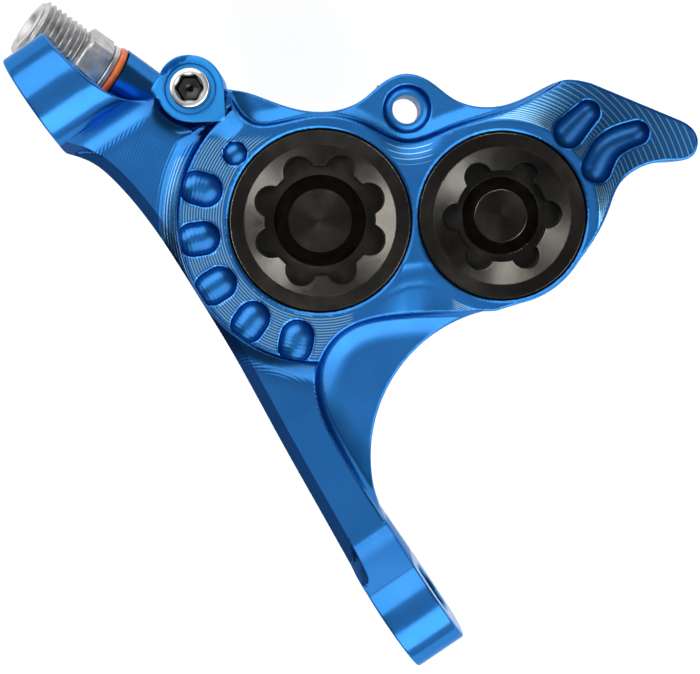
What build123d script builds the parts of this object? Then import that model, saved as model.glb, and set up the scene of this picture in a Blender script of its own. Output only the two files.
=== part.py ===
"""A front flat-mount brake caliper with four pistons, machined from one block.

Millimetres. X runs along the fork's mounting face, Y away from the fork, and Z along the wheel's axle,
away from the wheel, so the caliper lies on its wheel side. The origin is halfway between the two bolt
slots, on the mounting face, in the middle of the slots' length.
"""

from build123d import *
from math import atan2, cos, degrees, radians, sin, sqrt, tan
import os

# Mounting ears: the front flat-mount pattern
bolt_spacing = 70.0
bolt_slot_width = 5.5
bolt_slot_length = 9.0
ear_width = 12.5
ear_thickness = 6.2

# Rotor that the caliper grips
rotor_radius = 80.0
rotor_thickness = 1.8
rotor_side_clearance = 1.6
rotor_rim_clearance = 1.6
rotor_drop = 14.0
pad_track_inset = 8.6

# The line of the two bores, seen along the axle
bore_spacing = 20.1
bore_middle_x = -1.2
bore_middle_y = 27.6
bore_line_angle = 57.2

# Pistons and bores
large_piston_radius = 8.0
small_piston_radius = 7.0
piston_clearance = 0.04
piston_length = 8.4
piston_wall = 1.6
piston_floor = 2.2
insert_proud = 0.6
insert_clearance = 0.02
piston_back_room = 1.5
piston_edge = 0.5
seal_section = 2.0
seal_clearance = 0.05
seal_depth_in_bore = 2.2

# Pads
friction_thickness = 2.0
plate_thickness = 1.8
rotor_air_gap = 0.4
pad_length = 35.6
pad_reach_in = 8.4
pad_reach_out = 7.6
pad_corner = 3.0
friction_inset = 1.2
pad_window_clearance = 0.5
pad_pin_radius = 1.6
pad_pin_head_radius = 2.6
pad_pin_head_depth = 1.6
pad_pin_out = 12.2
pad_ear_radius = 3.7
pad_hole_clearance = 0.8
spring_thickness = 0.3
spring_half_width = 2.9

# Heights along the axle, from the slots' middle
face_height = 6.5
arm_face_height = 2.4
tab_face_height = 2.6
lug_face_height = 5.0
inboard_half = 14.0

# Bore caps
large_cap_radius = 10.0
small_cap_radius = 9.2
cap_clearance = 0.05
cap_below_face = 0.15
cap_thickness = 4.6
cap_rim_width = 1.6
cap_dish_depth = 0.7
cap_oring_section = 1.0
cap_oring_room = 0.1
cap_pocket_depth = 3.0
large_lobes = 8
large_lobe_reach = 7.4
large_land_reach = 6.0
small_lobes = 6
small_lobe_reach = 6.5
small_land_reach = 5.0
lobe_share = 0.22
large_hub_foot = 5.1
large_hub_head = 3.5
large_hub_height = 2.7
small_hub_foot = 4.3
small_hub_head = 2.9
small_hub_height = 1.0

# Walls of the machined block
large_rim = 2.1
small_rim = 0.65
terrace_wall = 5.6
terrace_fillet = 2.2
tab_radius = 3.9
tab_step_fillet_share = 0.074
arc_radius = 17.2
arc_centre_x = 28.5
arc_centre_y = 23.0
arc_end_angle = 160.0
fork_edge_chamfer = 1.25
relief_depth = 3.3
upper_ramp_angle = 60.0
upper_ramp_fillet = 4.0
lower_ramp_angle = 42.0
lower_ramp_fillet = 1.6
pocket_depth = 3.4
pocket_fillet_share = 0.074
inboard_large_rim = 4.6
inboard_small_rim = 4.4
inboard_bevel = 1.2
overrun = 1.0

# Ball-nose flutes round the large bore
flute_radius = 1.8
flute_length = 4.7
flute_ring_radius = 13.6
flute_count = 5
flute_first_angle = 163.6
flute_pitch_angle = 23.4
dimple_radius = 1.2
dimple_ring_radius = 11.9
dimple_angle = 140.4

# Tail fin, from the small bore's centre
fin_reach = 22.3
fin_rise = 14.9
fin_slope = 24.0
fin_tip_slope = 4.0
fin_slot_radius = 1.55
fin_slot_depth = 1.9

# Bleed screw and its lug
bleed_along = -24.0
bleed_out = 14.9
lug_radius = 3.7
bleed_head_radius = 2.2
bleed_shank_radius = 1.5
bleed_head_height = 3.2
bleed_shank_length = 6.0
bleed_seat_depth = 1.0
bleed_socket_flats = 2.5
bleed_socket_depth = 2.0
bleed_rim_width = 0.42
bleed_clearance = 0.05
lug_bore_radius = 2.75
lug_bore_depth = 0.5

# Hose union
union_seat_along = -35.0
union_seat_out = 17.0
union_seat_drop = 15.6
union_turn = 199.9
union_rise = 17.0
union_thread_radius = 3.9
union_thread_length = 6.4
union_thread_chamfer = 0.5
union_hex_flats = 8.0
union_hex_length = 3.4
union_collar_radius = 4.3
union_collar_length = 0.7
union_bore_radius = 1.4
union_spigot_radius = 2.5
union_spigot_length = 5.0
union_shoulder_radius = 3.6
union_hex_angle = 43.0
union_cone_depth = 1.2
union_cone_angle = 35.0
hose_oring_radius = 4.15
union_cone_radius = 2.4
hose_oring_section = 0.9
boss_radius = 4.7
boss_length = 14.0
gallery_radius = 0.8
gallery_margin = 0.3
gallery_reach = 12.0

# Values that follow from the driving sizes
bore_frame = Plane(
    origin=(bore_middle_x, bore_middle_y, 0),
    x_dir=(cos(radians(bore_line_angle)), sin(radians(bore_line_angle)), 0),
    z_dir=(0, 0, 1),
)
large_at = (-bore_spacing / 2, 0)
small_at = (bore_spacing / 2, 0)
rotor_back = sqrt((rotor_radius - pad_track_inset) ** 2 - (bore_spacing / 2) ** 2)
rotor_height = -rotor_drop
cavity_half = (
    rotor_thickness / 2 + rotor_air_gap + friction_thickness + plate_thickness + insert_proud
)
outboard_wall = rotor_height + cavity_half
inboard_wall = rotor_height - cavity_half
inboard_face = inboard_wall - inboard_half
slot_half = rotor_thickness / 2 + rotor_side_clearance
ear_half_depth = bolt_slot_length / 2 - bolt_slot_width / 2 + ear_width / 2
window_half = pad_length / 2 + pad_window_clearance
terrace_radius = large_cap_radius + terrace_wall
cap_seat_height = face_height - cap_below_face - cap_thickness
large_bore_radius = large_piston_radius + piston_clearance
small_bore_radius = small_piston_radius + piston_clearance
foot_edge = bolt_spacing / 2 - ear_width / 2


def along_bores(height):
    """Sketch plane whose X runs from the large bore to the small one and whose Y points out of the rotor."""
    return bore_frame.offset(height)


def row_place(along, out, height):
    """A place given in the bores' own frame, as X, Y and Z of the caliper."""
    return bore_frame.from_local_coords(Vector(along, out, height))


def upright_plane(along, out):
    """Plane through the upright line at this place: X along the bores, Y up the axle."""
    return Plane(origin=row_place(along, out, 0), x_dir=bore_frame.x_dir, z_dir=-bore_frame.y_dir)


def arc_place(centre, radius, angle):
    """The point of a circle at this angle, in degrees."""
    return (centre[0] + radius * cos(radians(angle)), centre[1] + radius * sin(radians(angle)))


# Outlines of the block, as shares of the sizes named beside them
# Fork edge between the feet: shares of bolt_spacing and of relief_depth
fork_edge_shares = (
    (-0.377, 0.52), (-0.331, 0.82), (-0.253, 1.0), (-0.157, 1.0), (0.0, 0.82), (0.161, 0.48), (0.279, 0.25),
)
# Edge from the upper ear's end to the bleed lug: shares of bolt_spacing and of ear_thickness
ear_top_shares = (
    (-0.576, 0.9), (-0.554, 0.93), (-0.509, 1.03), (-0.483, 1.11), (-0.459, 1.2), (-0.427, 1.42), (-0.407, 1.75),
)
# Top edge from the bleed lug to the large bore: shares of bleed_along and of bleed_out
brow_shares = ((0.875, 1.0), (0.75, 0.973), (0.638, 0.906))
# Tail fin: shares of fin_reach and of fin_rise, from the small bore's centre
fin_crest_shares = ((0.204, 0.926), (0.338, 1.0))
fin_back_shares = ((0.464, 0.973), (0.935, 0.668))
fin_tip_shares = ((1.002, 0.53), (0.913, 0.376))
fin_belly_shares = ((0.792, 0.369), (0.697, 0.329), (0.59, 0.208), (0.531, 0.02), (0.424, -0.242))
# Edge of the hollow below the bores: shares of bore_spacing
hollow_shares = (
    (1.1, -0.5), (0.328, -0.522), (-0.065, -0.527), (-0.403, -0.617), (-0.542, -0.836), (-0.527, -1.06),
    (-0.423, -1.289), (-0.189, -1.687),
)
# Step behind the pin tab: shares of bore_spacing
step_shares = (
    (-0.995, 0.726), (-0.94, 0.612), (-0.856, 0.537), (-0.726, 0.533), (-0.502, 0.572), (-0.27, 0.527),
    (-0.02, 0.415), (0.234, 0.483), (0.512, 0.567), (0.846, 0.73),
)

small_x = small_at[0]
large_x = large_at[0]
tab_shoulder = 0.67 * tab_radius
tab_crown = pad_pin_out + 0.77 * tab_radius
tab_foot = pad_pin_out + 0.27 * tab_radius
arc_centre = (arc_centre_x, arc_centre_y)
arc_drop = arc_centre_y - ear_thickness
arc_start = (arc_centre_x - sqrt(arc_radius**2 - arc_drop**2), ear_thickness)
arc_end = arc_place(arc_centre, arc_radius, arc_end_angle)
arc_middle_angle = (180 + degrees(atan2(arc_drop, arc_centre_x - arc_start[0])) + arc_end_angle) / 2
arc_middle = arc_place(arc_centre, arc_radius, arc_middle_angle)
bolt_x = bolt_spacing / 2
ear_radius = ear_width / 2
ear_end = bolt_x + ear_radius
fork_edge = [(bolt_spacing * a, relief_depth * b) for a, b in fork_edge_shares]
ear_top = [(bolt_spacing * a, ear_thickness * b) for a, b in ear_top_shares]
small_row = row_place(small_x, 0, 0)
large_row = row_place(large_x, 0, 0)
lug_row = row_place(bleed_along, bleed_out, 0)


# Corners of the inboard half and of the bridges: shares of window_half along, and of bleed_out outward
inboard_web_shares = ((-0.55, 0.6), (0.55, 0.6), (0.55, -0.75), (-0.55, -0.8))
inboard_left_shares = ((-0.55, 0.3), (-1.45, 0.25), (-1.62, 0.5), (-1.6, 0.92), (-1.2, 1.02), (-1.0, 0.85), (-0.55, 0.7))
inboard_right_shares = ((0.55, 0.3), (1.32, 0.3), (1.48, 0.5), (1.4, 0.78), (1.03, 0.88), (0.55, 0.65))
bridge_left_shares = ((-1.0, 0.25), (-1.45, 0.25), (-1.62, 0.5), (-1.6, 0.92), (-1.2, 1.02), (-1.0, 0.85))
bridge_right_shares = ((1.0, 0.3), (1.32, 0.3), (1.48, 0.5), (1.4, 0.78), (1.0, 0.89))

# Web between the pads' ear and their body: shares of window_half and of pad_pin_out
pad_ear_shares = ((-0.36, 0.58), (-0.19, 1.0), (0.19, 1.0), (0.36, 0.58), (0.36, 0.4), (-0.36, 0.4))


def head_points(shares):
    """Corners given as shares of window_half along the bores and of bleed_out outward."""
    return [(window_half * a, bleed_out * b) for a, b in shares]


inboard_web = head_points(inboard_web_shares)
inboard_left = head_points(inboard_left_shares)
inboard_right = head_points(inboard_right_shares)
bridge_left = head_points(bridge_left_shares)
bridge_right = head_points(bridge_right_shares)


def fin_points(shares):
    """Places on the fin, in the bores' frame."""
    return [(small_x + fin_reach * a, fin_rise * b) for a, b in shares]


brow = [(bleed_along * a, bleed_out * b) for a, b in brow_shares]
valley = (large_x, large_cap_radius + large_rim)
crest_valley = (small_x, small_cap_radius + tab_radius * 0.77)
top_edge = [
    *brow, valley, (-1.31 * tab_radius, tab_foot), (-tab_shoulder, tab_crown), (0, pad_pin_out + tab_radius),
    (tab_shoulder, tab_crown), (1.31 * tab_radius, tab_foot), crest_valley, *fin_points(fin_crest_shares),
]
fin_back = fin_points(fin_back_shares)
fin_tip = fin_points(fin_tip_shares)
fin_belly = fin_points(fin_belly_shares)

outboard_gallery = outboard_wall + seal_depth_in_bore + seal_section + gallery_margin + gallery_radius
inboard_gallery = 2 * rotor_height - outboard_gallery
inboard_bore_depth = piston_length + piston_back_room
far_out = bore_spacing + tab_radius
far_along = small_x + fin_reach + overrun
tab_step_fillet = bore_spacing * tab_step_fillet_share
pocket_fillet = bore_spacing * pocket_fillet_share
step_points = [(bore_spacing * a, bore_spacing * b) for a, b in step_shares]
hollow_points = [(bore_spacing * a, bore_spacing * b) for a, b in hollow_shares]
lug_left_tip = ((-0.95, -0.3), (-1.2, 0.0), (-0.78, 0.63))
lug_right_tip = ((0.0, -1.0), (1.02, -0.99), (1.0, 0.0))
brow_side = step_points[0][0]
brow_edge = (step_points[0][0] + step_points[1][0]) / 2
brow_corner = (brow_side - lug_radius, step_points[0][1] + lug_radius * 0.68)

# Outline of the arm with its two ears, seen along the axle
with BuildSketch(Plane.XY.offset(outboard_wall)) as arm_outline:
    with BuildLine():
        Polyline((-ear_end, ear_top[0][1]), (-ear_end, 0), (-foot_edge, 0))
        Spline((-foot_edge, 0), *fork_edge, (foot_edge, 0))
        Polyline((foot_edge, 0), (ear_end, 0), (ear_end, ear_thickness), arc_start)
        ThreePointArc(arc_start, arc_middle, arc_end)
        Polyline(arc_end, (small_row.X, small_row.Y), (large_row.X, large_row.Y), (lug_row.X, lug_row.Y), ear_top[-1])
        Spline(*reversed(ear_top), (-ear_end, ear_top[0][1]))
    make_face()

# Outline of the head with the bores, the pin tab, the bleed lug and the fin
with BuildSketch(along_bores(outboard_wall)) as head_outline:
    with BuildLine():
        Spline(*top_edge, fin_back[0])
        Line(fin_back[0], fin_back[1])
        ThreePointArc(fin_back[1], *fin_tip)
        Spline(fin_tip[1], *fin_belly)
        Polyline(fin_belly[-1], small_at, large_at, top_edge[0])
    make_face()
    with Locations(small_at):
        Circle(small_cap_radius + small_rim)
    with Locations(large_at):
        Circle(large_cap_radius + large_rim)
    with Locations((bleed_along, bleed_out)):
        Circle(lug_radius)
    for tip in (lug_left_tip, lug_right_tip):
        with BuildLine():
            Polyline(
                (bleed_along, bleed_out),
                *[(bleed_along + lug_radius * a, bleed_out + lug_radius * b) for a, b in tip],
                (bleed_along, bleed_out),
            )
        make_face()

with BuildPart() as outline_block:
    extrude(arm_outline.sketch, amount=ear_half_depth - outboard_wall)
    extrude(head_outline.sketch, amount=ear_half_depth - outboard_wall)

# Cutter for the lower land behind the pin tab, with its bottom edge rounded
with BuildPart() as step_cutter:
    with BuildSketch(along_bores(tab_face_height)):
        with BuildLine():
            Spline(*step_points)
            Polyline(
                step_points[-1], (step_points[-1][0], far_out), (brow_corner[0], far_out), brow_corner, step_points[0],
            )
        make_face()
    extrude(amount=face_height - tab_face_height + overrun)
    fillet(edges().filter_by(GeomType.BSPLINE).sort_by(Axis.Z)[0], radius=tab_step_fillet)

# Cutter for the hollow below the bores, with its bottom edge rounded
with BuildPart() as hollow_cutter:
    with BuildSketch(along_bores(arm_face_height - pocket_depth)):
        with BuildLine():
            Spline(*hollow_points)
            Polyline(hollow_points[-1], (hollow_points[0][0], hollow_points[-1][1]), hollow_points[0])
        make_face()
    extrude(amount=face_height - arm_face_height + pocket_depth + overrun)
    fillet(edges().filter_by(GeomType.BSPLINE).sort_by(Axis.Z)[0], radius=pocket_fillet)


# Forms that stand above the arm's face
rise_foot = arm_face_height - overrun


def turned_rise(place, radius, top):
    """A round boss with the cutter's radius at its foot, about the upright line at this place."""
    upright = upright_plane(*place)
    foot = radius + terrace_fillet
    bow = arc_place((foot, arm_face_height + terrace_fillet), terrace_fillet, 225)
    with BuildPart() as boss:
        with BuildSketch(upright):
            with BuildLine():
                Polyline(
                    (radius, arm_face_height + terrace_fillet), (radius, top), (0, top), (0, rise_foot),
                    (foot, rise_foot), (foot, arm_face_height),
                )
                ThreePointArc((foot, arm_face_height), bow, (radius, arm_face_height + terrace_fillet))
            make_face()
        revolve(axis=Axis(upright.origin, (0, 0, 1)))
    return boss.part


with BuildPart() as raised_forms:
    with BuildSketch(along_bores(rise_foot)):
        with BuildLine():
            Polyline(
                (brow_edge, step_points[1][1]), (brow_edge, far_out), (far_along, far_out),
                (far_along, -small_cap_radius), hollow_points[3], large_at, step_points[1],
                (brow_edge, step_points[1][1]),
            )
        make_face()
        with Locations(small_at):
            Circle(small_cap_radius + small_rim)
    extrude(amount=face_height - rise_foot)
    add(turned_rise(large_at, terrace_radius, face_height))
    add(step_cutter.part, mode=Mode.SUBTRACT)
    add(turned_rise((bleed_along, bleed_out), lug_radius, lug_face_height))
    with BuildSketch(along_bores(rise_foot)):
        for tip in (lug_left_tip, lug_right_tip):
            with BuildLine():
                Polyline(
                    (bleed_along, bleed_out),
                    *[(bleed_along + lug_radius * a, bleed_out + lug_radius * b) for a, b in tip],
                    (bleed_along, bleed_out),
                )
            make_face()
    extrude(amount=lug_face_height - rise_foot)

# Ears, rounded about the bolt slots, and the ramps that lead down from them to the arm's face
ear_centre_height = ear_half_depth - ear_radius


def ramp_line(side, angle, fillet_radius):
    """Draw the ramp between an ear and the arm's face, on the side given as -1 or 1."""

    def place(along, height):
        return (-side * along, height)

    top = arc_place((-bolt_x, ear_centre_height), ear_radius, 90 - angle)
    foot = top[0] + (top[1] - arm_face_height) / tan(radians(angle))
    centre = (foot + fillet_radius * tan(radians(angle / 2)), arm_face_height + fillet_radius)
    bow_start = arc_place(centre, fillet_radius, 270 - angle)
    bow_middle = arc_place(centre, fillet_radius, 270 - angle / 2)
    Line(place(*top), place(*bow_start))
    ThreePointArc(place(*bow_start), place(*bow_middle), place(centre[0], arm_face_height))
    Polyline(
        place(centre[0], arm_face_height), place(centre[0], outboard_wall * 0.5), place(-bolt_x, outboard_wall * 0.5),
        place(-bolt_x, ear_centre_height), place(*top),
    )


with BuildPart() as ears:
    with BuildSketch(Plane.XZ):
        with Locations((-bolt_x, 0), (bolt_x, 0)):
            SlotOverall(2 * ear_half_depth, ear_width, rotation=90)
        with BuildLine():
            ramp_line(-1, upper_ramp_angle, upper_ramp_fillet)
        make_face()
        with BuildLine():
            ramp_line(1, lower_ramp_angle, lower_ramp_fillet)
        make_face()
    extrude(amount=-ear_top[-1][1])
    add(outline_block.part, mode=Mode.INTERSECT)

# Cutter for the bevel along the fork side of the arm
with BuildPart() as bevel_cutter:
    with BuildLine() as bevel_path:
        Spline(
            (-foot_edge, 0, arm_face_height), *[(a, b, arm_face_height) for a, b in fork_edge],
            (foot_edge, 0, arm_face_height),
        )
    with BuildSketch(Plane(origin=bevel_path.line @ 0, z_dir=bevel_path.line % 0, x_dir=(0, 0, 1))):
        Polygon(
            (-fork_edge_chamfer - overrun, overrun), (overrun, -fork_edge_chamfer - overrun), (overrun, overrun),
            align=None,
        )
    sweep(path=bevel_path.line)

# The half away from the wheel before its holes are cut
with BuildPart() as outboard_half:
    extrude(arm_outline.sketch, amount=arm_face_height - outboard_wall)
    add(bevel_cutter.part, mode=Mode.SUBTRACT)
    Box(bolt_spacing, 2 * rotor_radius, 2 * rotor_radius, mode=Mode.INTERSECT)
    add(ears.part)
    extrude(head_outline.sketch, amount=arm_face_height - outboard_wall)
    add(raised_forms.part & outline_block.part)
    add(hollow_cutter.part, mode=Mode.SUBTRACT)

# The half beside the wheel, with its outer edge bevelled
with BuildPart() as inboard_block:
    with BuildSketch(along_bores(inboard_face)):
        with Locations(large_at):
            Circle(large_bore_radius + inboard_large_rim)
        with Locations(small_at):
            Circle(small_bore_radius + inboard_small_rim)
        for corners in (inboard_web, inboard_left, inboard_right):
            with BuildLine():
                Polyline(*corners, corners[0])
            make_face()
    extrude(amount=inboard_half)
    chamfer(faces().sort_by(Axis.Z)[0].outer_wire().edges(), length=inboard_bevel)

# Bridges that join the halves beyond the ends of the pads
with BuildPart() as bridges:
    with BuildSketch(along_bores(inboard_wall - overrun)):
        for corners in (bridge_left, bridge_right):
            with BuildLine():
                Polyline(*corners, corners[0])
            make_face()
    extrude(amount=outboard_wall - inboard_wall + 2 * overrun)

# Hose boss, along the union's axis
union_seat = row_place(union_seat_along, union_seat_out, -union_seat_drop)
union_out = Vector(
    cos(radians(union_rise)) * cos(radians(union_turn)),
    cos(radians(union_rise)) * sin(radians(union_turn)),
    sin(radians(union_rise)),
)
union_plane = Plane(origin=union_seat, x_dir=union_out.cross(Vector(0, 0, 1)), z_dir=union_out)
boss_plane = union_plane.offset(-boss_length)

gallery_meeting = boss_plane.offset(boss_length - gallery_reach).origin
meeting = bore_frame.to_local_coords(gallery_meeting)


def ball_slot(start, end, radius):
    """The groove of a round-nosed cutter between two places given in the bores' frame."""
    place = row_place(*start)
    run = row_place(*end) - place
    with BuildPart() as groove:
        with BuildSketch(Plane.XZ):
            with BuildLine():
                Line((0, -radius), (0, run.length + radius))
                ThreePointArc((0, run.length + radius), arc_place((0, run.length), radius, 45), (radius, run.length))
                Line((radius, run.length), (radius, 0))
                ThreePointArc((radius, 0), arc_place((0, 0), radius, -45), (0, -radius))
            make_face()
        revolve(axis=Axis.Z)
    return Plane(origin=place, z_dir=run).location * groove.part


def drilling(start, end, radius):
    """A drilled hole between two places given in the bores' frame."""
    place = row_place(*start)
    run = row_place(*end) - place
    with BuildPart() as hole:
        with BuildSketch(Plane(origin=place, z_dir=run)):
            Circle(radius)
        extrude(amount=run.length)
    return hole.part


def on_ring(radius, angle, height):
    """A place round the large bore's centre, in the bores' frame."""
    return (*arc_place(large_at, radius, angle), height)


lug_place = (bleed_along, bleed_out)
pin_place = (0, pad_pin_out)
pad_ear = [(window_half * a, pad_pin_out * b) for a, b in pad_ear_shares]
upright_side = Plane(origin=bore_frame.origin, x_dir=bore_frame.y_dir, z_dir=bore_frame.x_dir)
union_outer_length = hose_oring_section + union_collar_length + union_hex_length + union_thread_length
bleed_seat_height = lug_face_height - bleed_seat_depth
slope_start = small_cap_radius + 2 * small_rim
slope_end = sqrt((fin_reach * fin_tip_shares[0][0]) ** 2 + (fin_rise * fin_tip_shares[0][1]) ** 2) + overrun
slope_side = 0.4 * small_x
steep = tan(radians(fin_slope))
slope_bend = (steep - tan(radians(fin_tip_slope))) / (2 * (slope_end - slope_start))
fin_slots = (
    ((0.37, 0.6), (0.45, 0.73)),
    ((0.49, 0.37), (0.66, 0.57)),
)



def fin_top(reach):
    """Height of the fin's top at this distance from the small bore's centre."""
    out = max(reach - slope_start, 0)
    return face_height - steep * out + slope_bend * out**2


# Cutter that lets the top fall away from the small bore's rim and flatten towards the fin's tip
with BuildPart() as fin_cutter:
    with BuildSketch(upright_plane(*small_at)) as fall:
        with BuildLine():
            Bezier(
                (slope_start, face_height),
                ((slope_start + slope_end) / 2, face_height - steep * (slope_end - slope_start) / 2),
                (slope_end, fin_top(slope_end)),
            )
            Polyline(
                (slope_end, fin_top(slope_end)), (slope_end, face_height + overrun), (slope_start, face_height + overrun),
                (slope_start, face_height),
            )
        make_face()
    revolve(axis=Axis(upright_plane(*small_at).origin, (0, 0, 1)))
    with BuildSketch(along_bores(outboard_wall)):
        with Locations((slope_side + slope_end, 0)):
            Rectangle(2 * slope_end, 2 * slope_end + 2 * overrun)
    extrude(amount=face_height + overrun - outboard_wall, mode=Mode.INTERSECT)

# The block itself: both halves in one piece, with every bore and hole
with BuildPart() as caliper_body:
    add(outboard_half.part)
    add(inboard_block.part)
    add(bridges.part)
    with BuildSketch(boss_plane):
        Circle(boss_radius)
    extrude(amount=boss_length)
    # Slot for the rotor
    with BuildSketch(along_bores(rotor_height - slot_half)):
        with Locations((0, -rotor_back)):
            Circle(rotor_radius + rotor_rim_clearance)
    extrude(amount=2 * slot_half, mode=Mode.SUBTRACT)
    # Bores, cap seats and seal grooves
    for place, bore, cap in (
        (large_at, large_bore_radius, large_cap_radius),
        (small_at, small_bore_radius, small_cap_radius),
    ):
        with BuildSketch(along_bores(cap_seat_height)):
            with Locations(place):
                Circle(cap + cap_clearance)
        extrude(amount=face_height - cap_seat_height + overrun, mode=Mode.SUBTRACT)
        with BuildSketch(along_bores(outboard_wall - overrun)):
            with Locations(place):
                Circle(bore)
        extrude(amount=cap_seat_height - outboard_wall + 2 * overrun, mode=Mode.SUBTRACT)
        with BuildSketch(along_bores(inboard_wall - inboard_bore_depth)):
            with Locations(place):
                Circle(bore)
        extrude(amount=inboard_bore_depth + overrun, mode=Mode.SUBTRACT)
        for groove_foot in (outboard_wall + seal_depth_in_bore, inboard_wall - seal_depth_in_bore - seal_section):
            with BuildSketch(along_bores(groove_foot)):
                with Locations(place):
                    Circle(bore + seal_section)
            extrude(amount=seal_section, mode=Mode.SUBTRACT)
    # Flutes and dimple round the large bore
    flute_half = flute_length / 2 - flute_radius
    for count in range(flute_count):
        angle = flute_first_angle + flute_pitch_angle * count
        inner = on_ring(flute_ring_radius - flute_half, angle, face_height)
        outer = on_ring(flute_ring_radius + flute_half, angle, face_height)
        add(ball_slot(inner, outer, flute_radius), mode=Mode.SUBTRACT)
    with Locations(row_place(*on_ring(dimple_ring_radius, dimple_angle, face_height))):
        Sphere(dimple_radius, mode=Mode.SUBTRACT)
    # Falling top of the tail fin and its two slots
    add(fin_cutter.part, mode=Mode.SUBTRACT)
    for pair in fin_slots:
        ends = [
            (*place, fin_top(sqrt((place[0] - small_x) ** 2 + place[1] ** 2)) - fin_slot_depth + fin_slot_radius)
            for place in fin_points(pair)
        ]
        add(ball_slot(*ends, fin_slot_radius), mode=Mode.SUBTRACT)
    # Bolt slots in the ears
    with BuildSketch(Plane.XZ):
        with Locations((-bolt_x, 0), (bolt_x, 0)):
            SlotOverall(bolt_slot_length, bolt_slot_width, rotation=90)
    extrude(amount=-ear_top[-1][1], mode=Mode.SUBTRACT)
    # Pad pin's hole and the seat for its head
    add(drilling((*pin_place, outboard_wall - overrun), (*pin_place, face_height), pad_pin_radius), mode=Mode.SUBTRACT)
    pin_seat = tab_face_height - pad_pin_head_depth
    add(drilling((*pin_place, pin_seat), (*pin_place, face_height), pad_pin_head_radius), mode=Mode.SUBTRACT)
    # Bleed screw's hole, its seat and the shallow recess round it
    bleed_foot = bleed_seat_height - bleed_shank_length - bleed_clearance
    for foot, radius in (
        (lug_face_height - lug_bore_depth, lug_bore_radius),
        (bleed_seat_height, bleed_head_radius + bleed_clearance),
        (bleed_foot, bleed_shank_radius + bleed_clearance),
    ):
        add(drilling((*lug_place, foot), (*lug_place, face_height + overrun), radius), mode=Mode.SUBTRACT)
    # Drilled galleries from the hose union and the bleed screw to the four bores
    gallery_ends = (
        ((*lug_place, bleed_foot + overrun), (*lug_place, outboard_gallery)),
        ((*lug_place, outboard_gallery), (meeting.X, meeting.Y, outboard_gallery)),
        ((meeting.X, meeting.Y, outboard_gallery), (*large_at, outboard_gallery)),
        ((*large_at, outboard_gallery), (*small_at, outboard_gallery)),
        ((meeting.X, meeting.Y, outboard_gallery), (meeting.X, meeting.Y, inboard_gallery)),
        ((meeting.X, meeting.Y, inboard_gallery), (*large_at, inboard_gallery)),
        ((*large_at, inboard_gallery), (*small_at, inboard_gallery)),
    )
    for start, end in gallery_ends:
        add(drilling(start, end, gallery_radius), mode=Mode.SUBTRACT)
    with BuildSketch(union_plane):
        Circle(union_spigot_radius + cap_clearance)
    extrude(amount=-union_spigot_length - cap_clearance, mode=Mode.SUBTRACT)
    with BuildSketch(union_plane):
        Circle(gallery_radius)
    extrude(amount=-gallery_reach - gallery_radius, mode=Mode.SUBTRACT)

os.makedirs("parts", exist_ok=True)


def save(part, name):
    """Write one node's file, under its label."""
    part.label = name
    export_step(part, f"parts/{name}.step")


save(caliper_body.part, "caliper_body")

# Caps over the two outboard bores, each with its ring
cap_top = face_height - cap_below_face
for name, place, radius, lobes, reach, land, hub_foot, hub_head, hub_height in (
    (
        "large_bore", large_at, large_cap_radius, large_lobes, large_lobe_reach, large_land_reach,
        large_hub_foot, large_hub_head, large_hub_height,
    ),
    (
        "small_bore", small_at, small_cap_radius, small_lobes, small_lobe_reach, small_land_reach,
        small_hub_foot, small_hub_head, small_hub_height,
    ),
):
    upright = upright_plane(*place)
    axle_line = Axis(upright.origin, (0, 0, 1))
    spigot = radius - cap_oring_section - cap_oring_room
    ring_height = cap_oring_section + cap_oring_room
    lobe = lobe_share * reach
    floor = cap_top - cap_pocket_depth
    with BuildPart() as cap:
        with BuildSketch(upright):
            with BuildLine():
                Polyline(
                    (0, cap_seat_height), (spigot, cap_seat_height), (spigot, cap_seat_height + ring_height),
                    (radius, cap_seat_height + ring_height), (radius, cap_top), (radius - cap_rim_width, cap_top),
                    (reach - lobe, cap_top - cap_dish_depth), (0, cap_top - cap_dish_depth), (0, cap_seat_height),
                )
            make_face()
        revolve(axis=axle_line)
        with BuildSketch(along_bores(floor)):
            with Locations(place):
                Circle(land)
                with PolarLocations(reach - lobe, lobes):
                    Circle(lobe)
        extrude(amount=cap_pocket_depth, mode=Mode.SUBTRACT)
        with BuildSketch(upright):
            with BuildLine():
                Polyline(
                    (0, floor - overrun), (hub_foot, floor - overrun), (hub_foot, floor), (hub_head, floor + hub_height),
                    (0, floor + hub_height), (0, floor - overrun),
                )
            make_face()
        revolve(axis=axle_line)
    save(cap.part, f"{name}_cap")
    with BuildPart() as cap_oring:
        with BuildSketch(upright):
            with Locations((spigot + ring_height / 2, cap_seat_height + cap_oring_section / 2)):
                Circle(cap_oring_section / 2)
        revolve(axis=axle_line)
    save(cap_oring.part, f"{name}_cap_oring")

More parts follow.
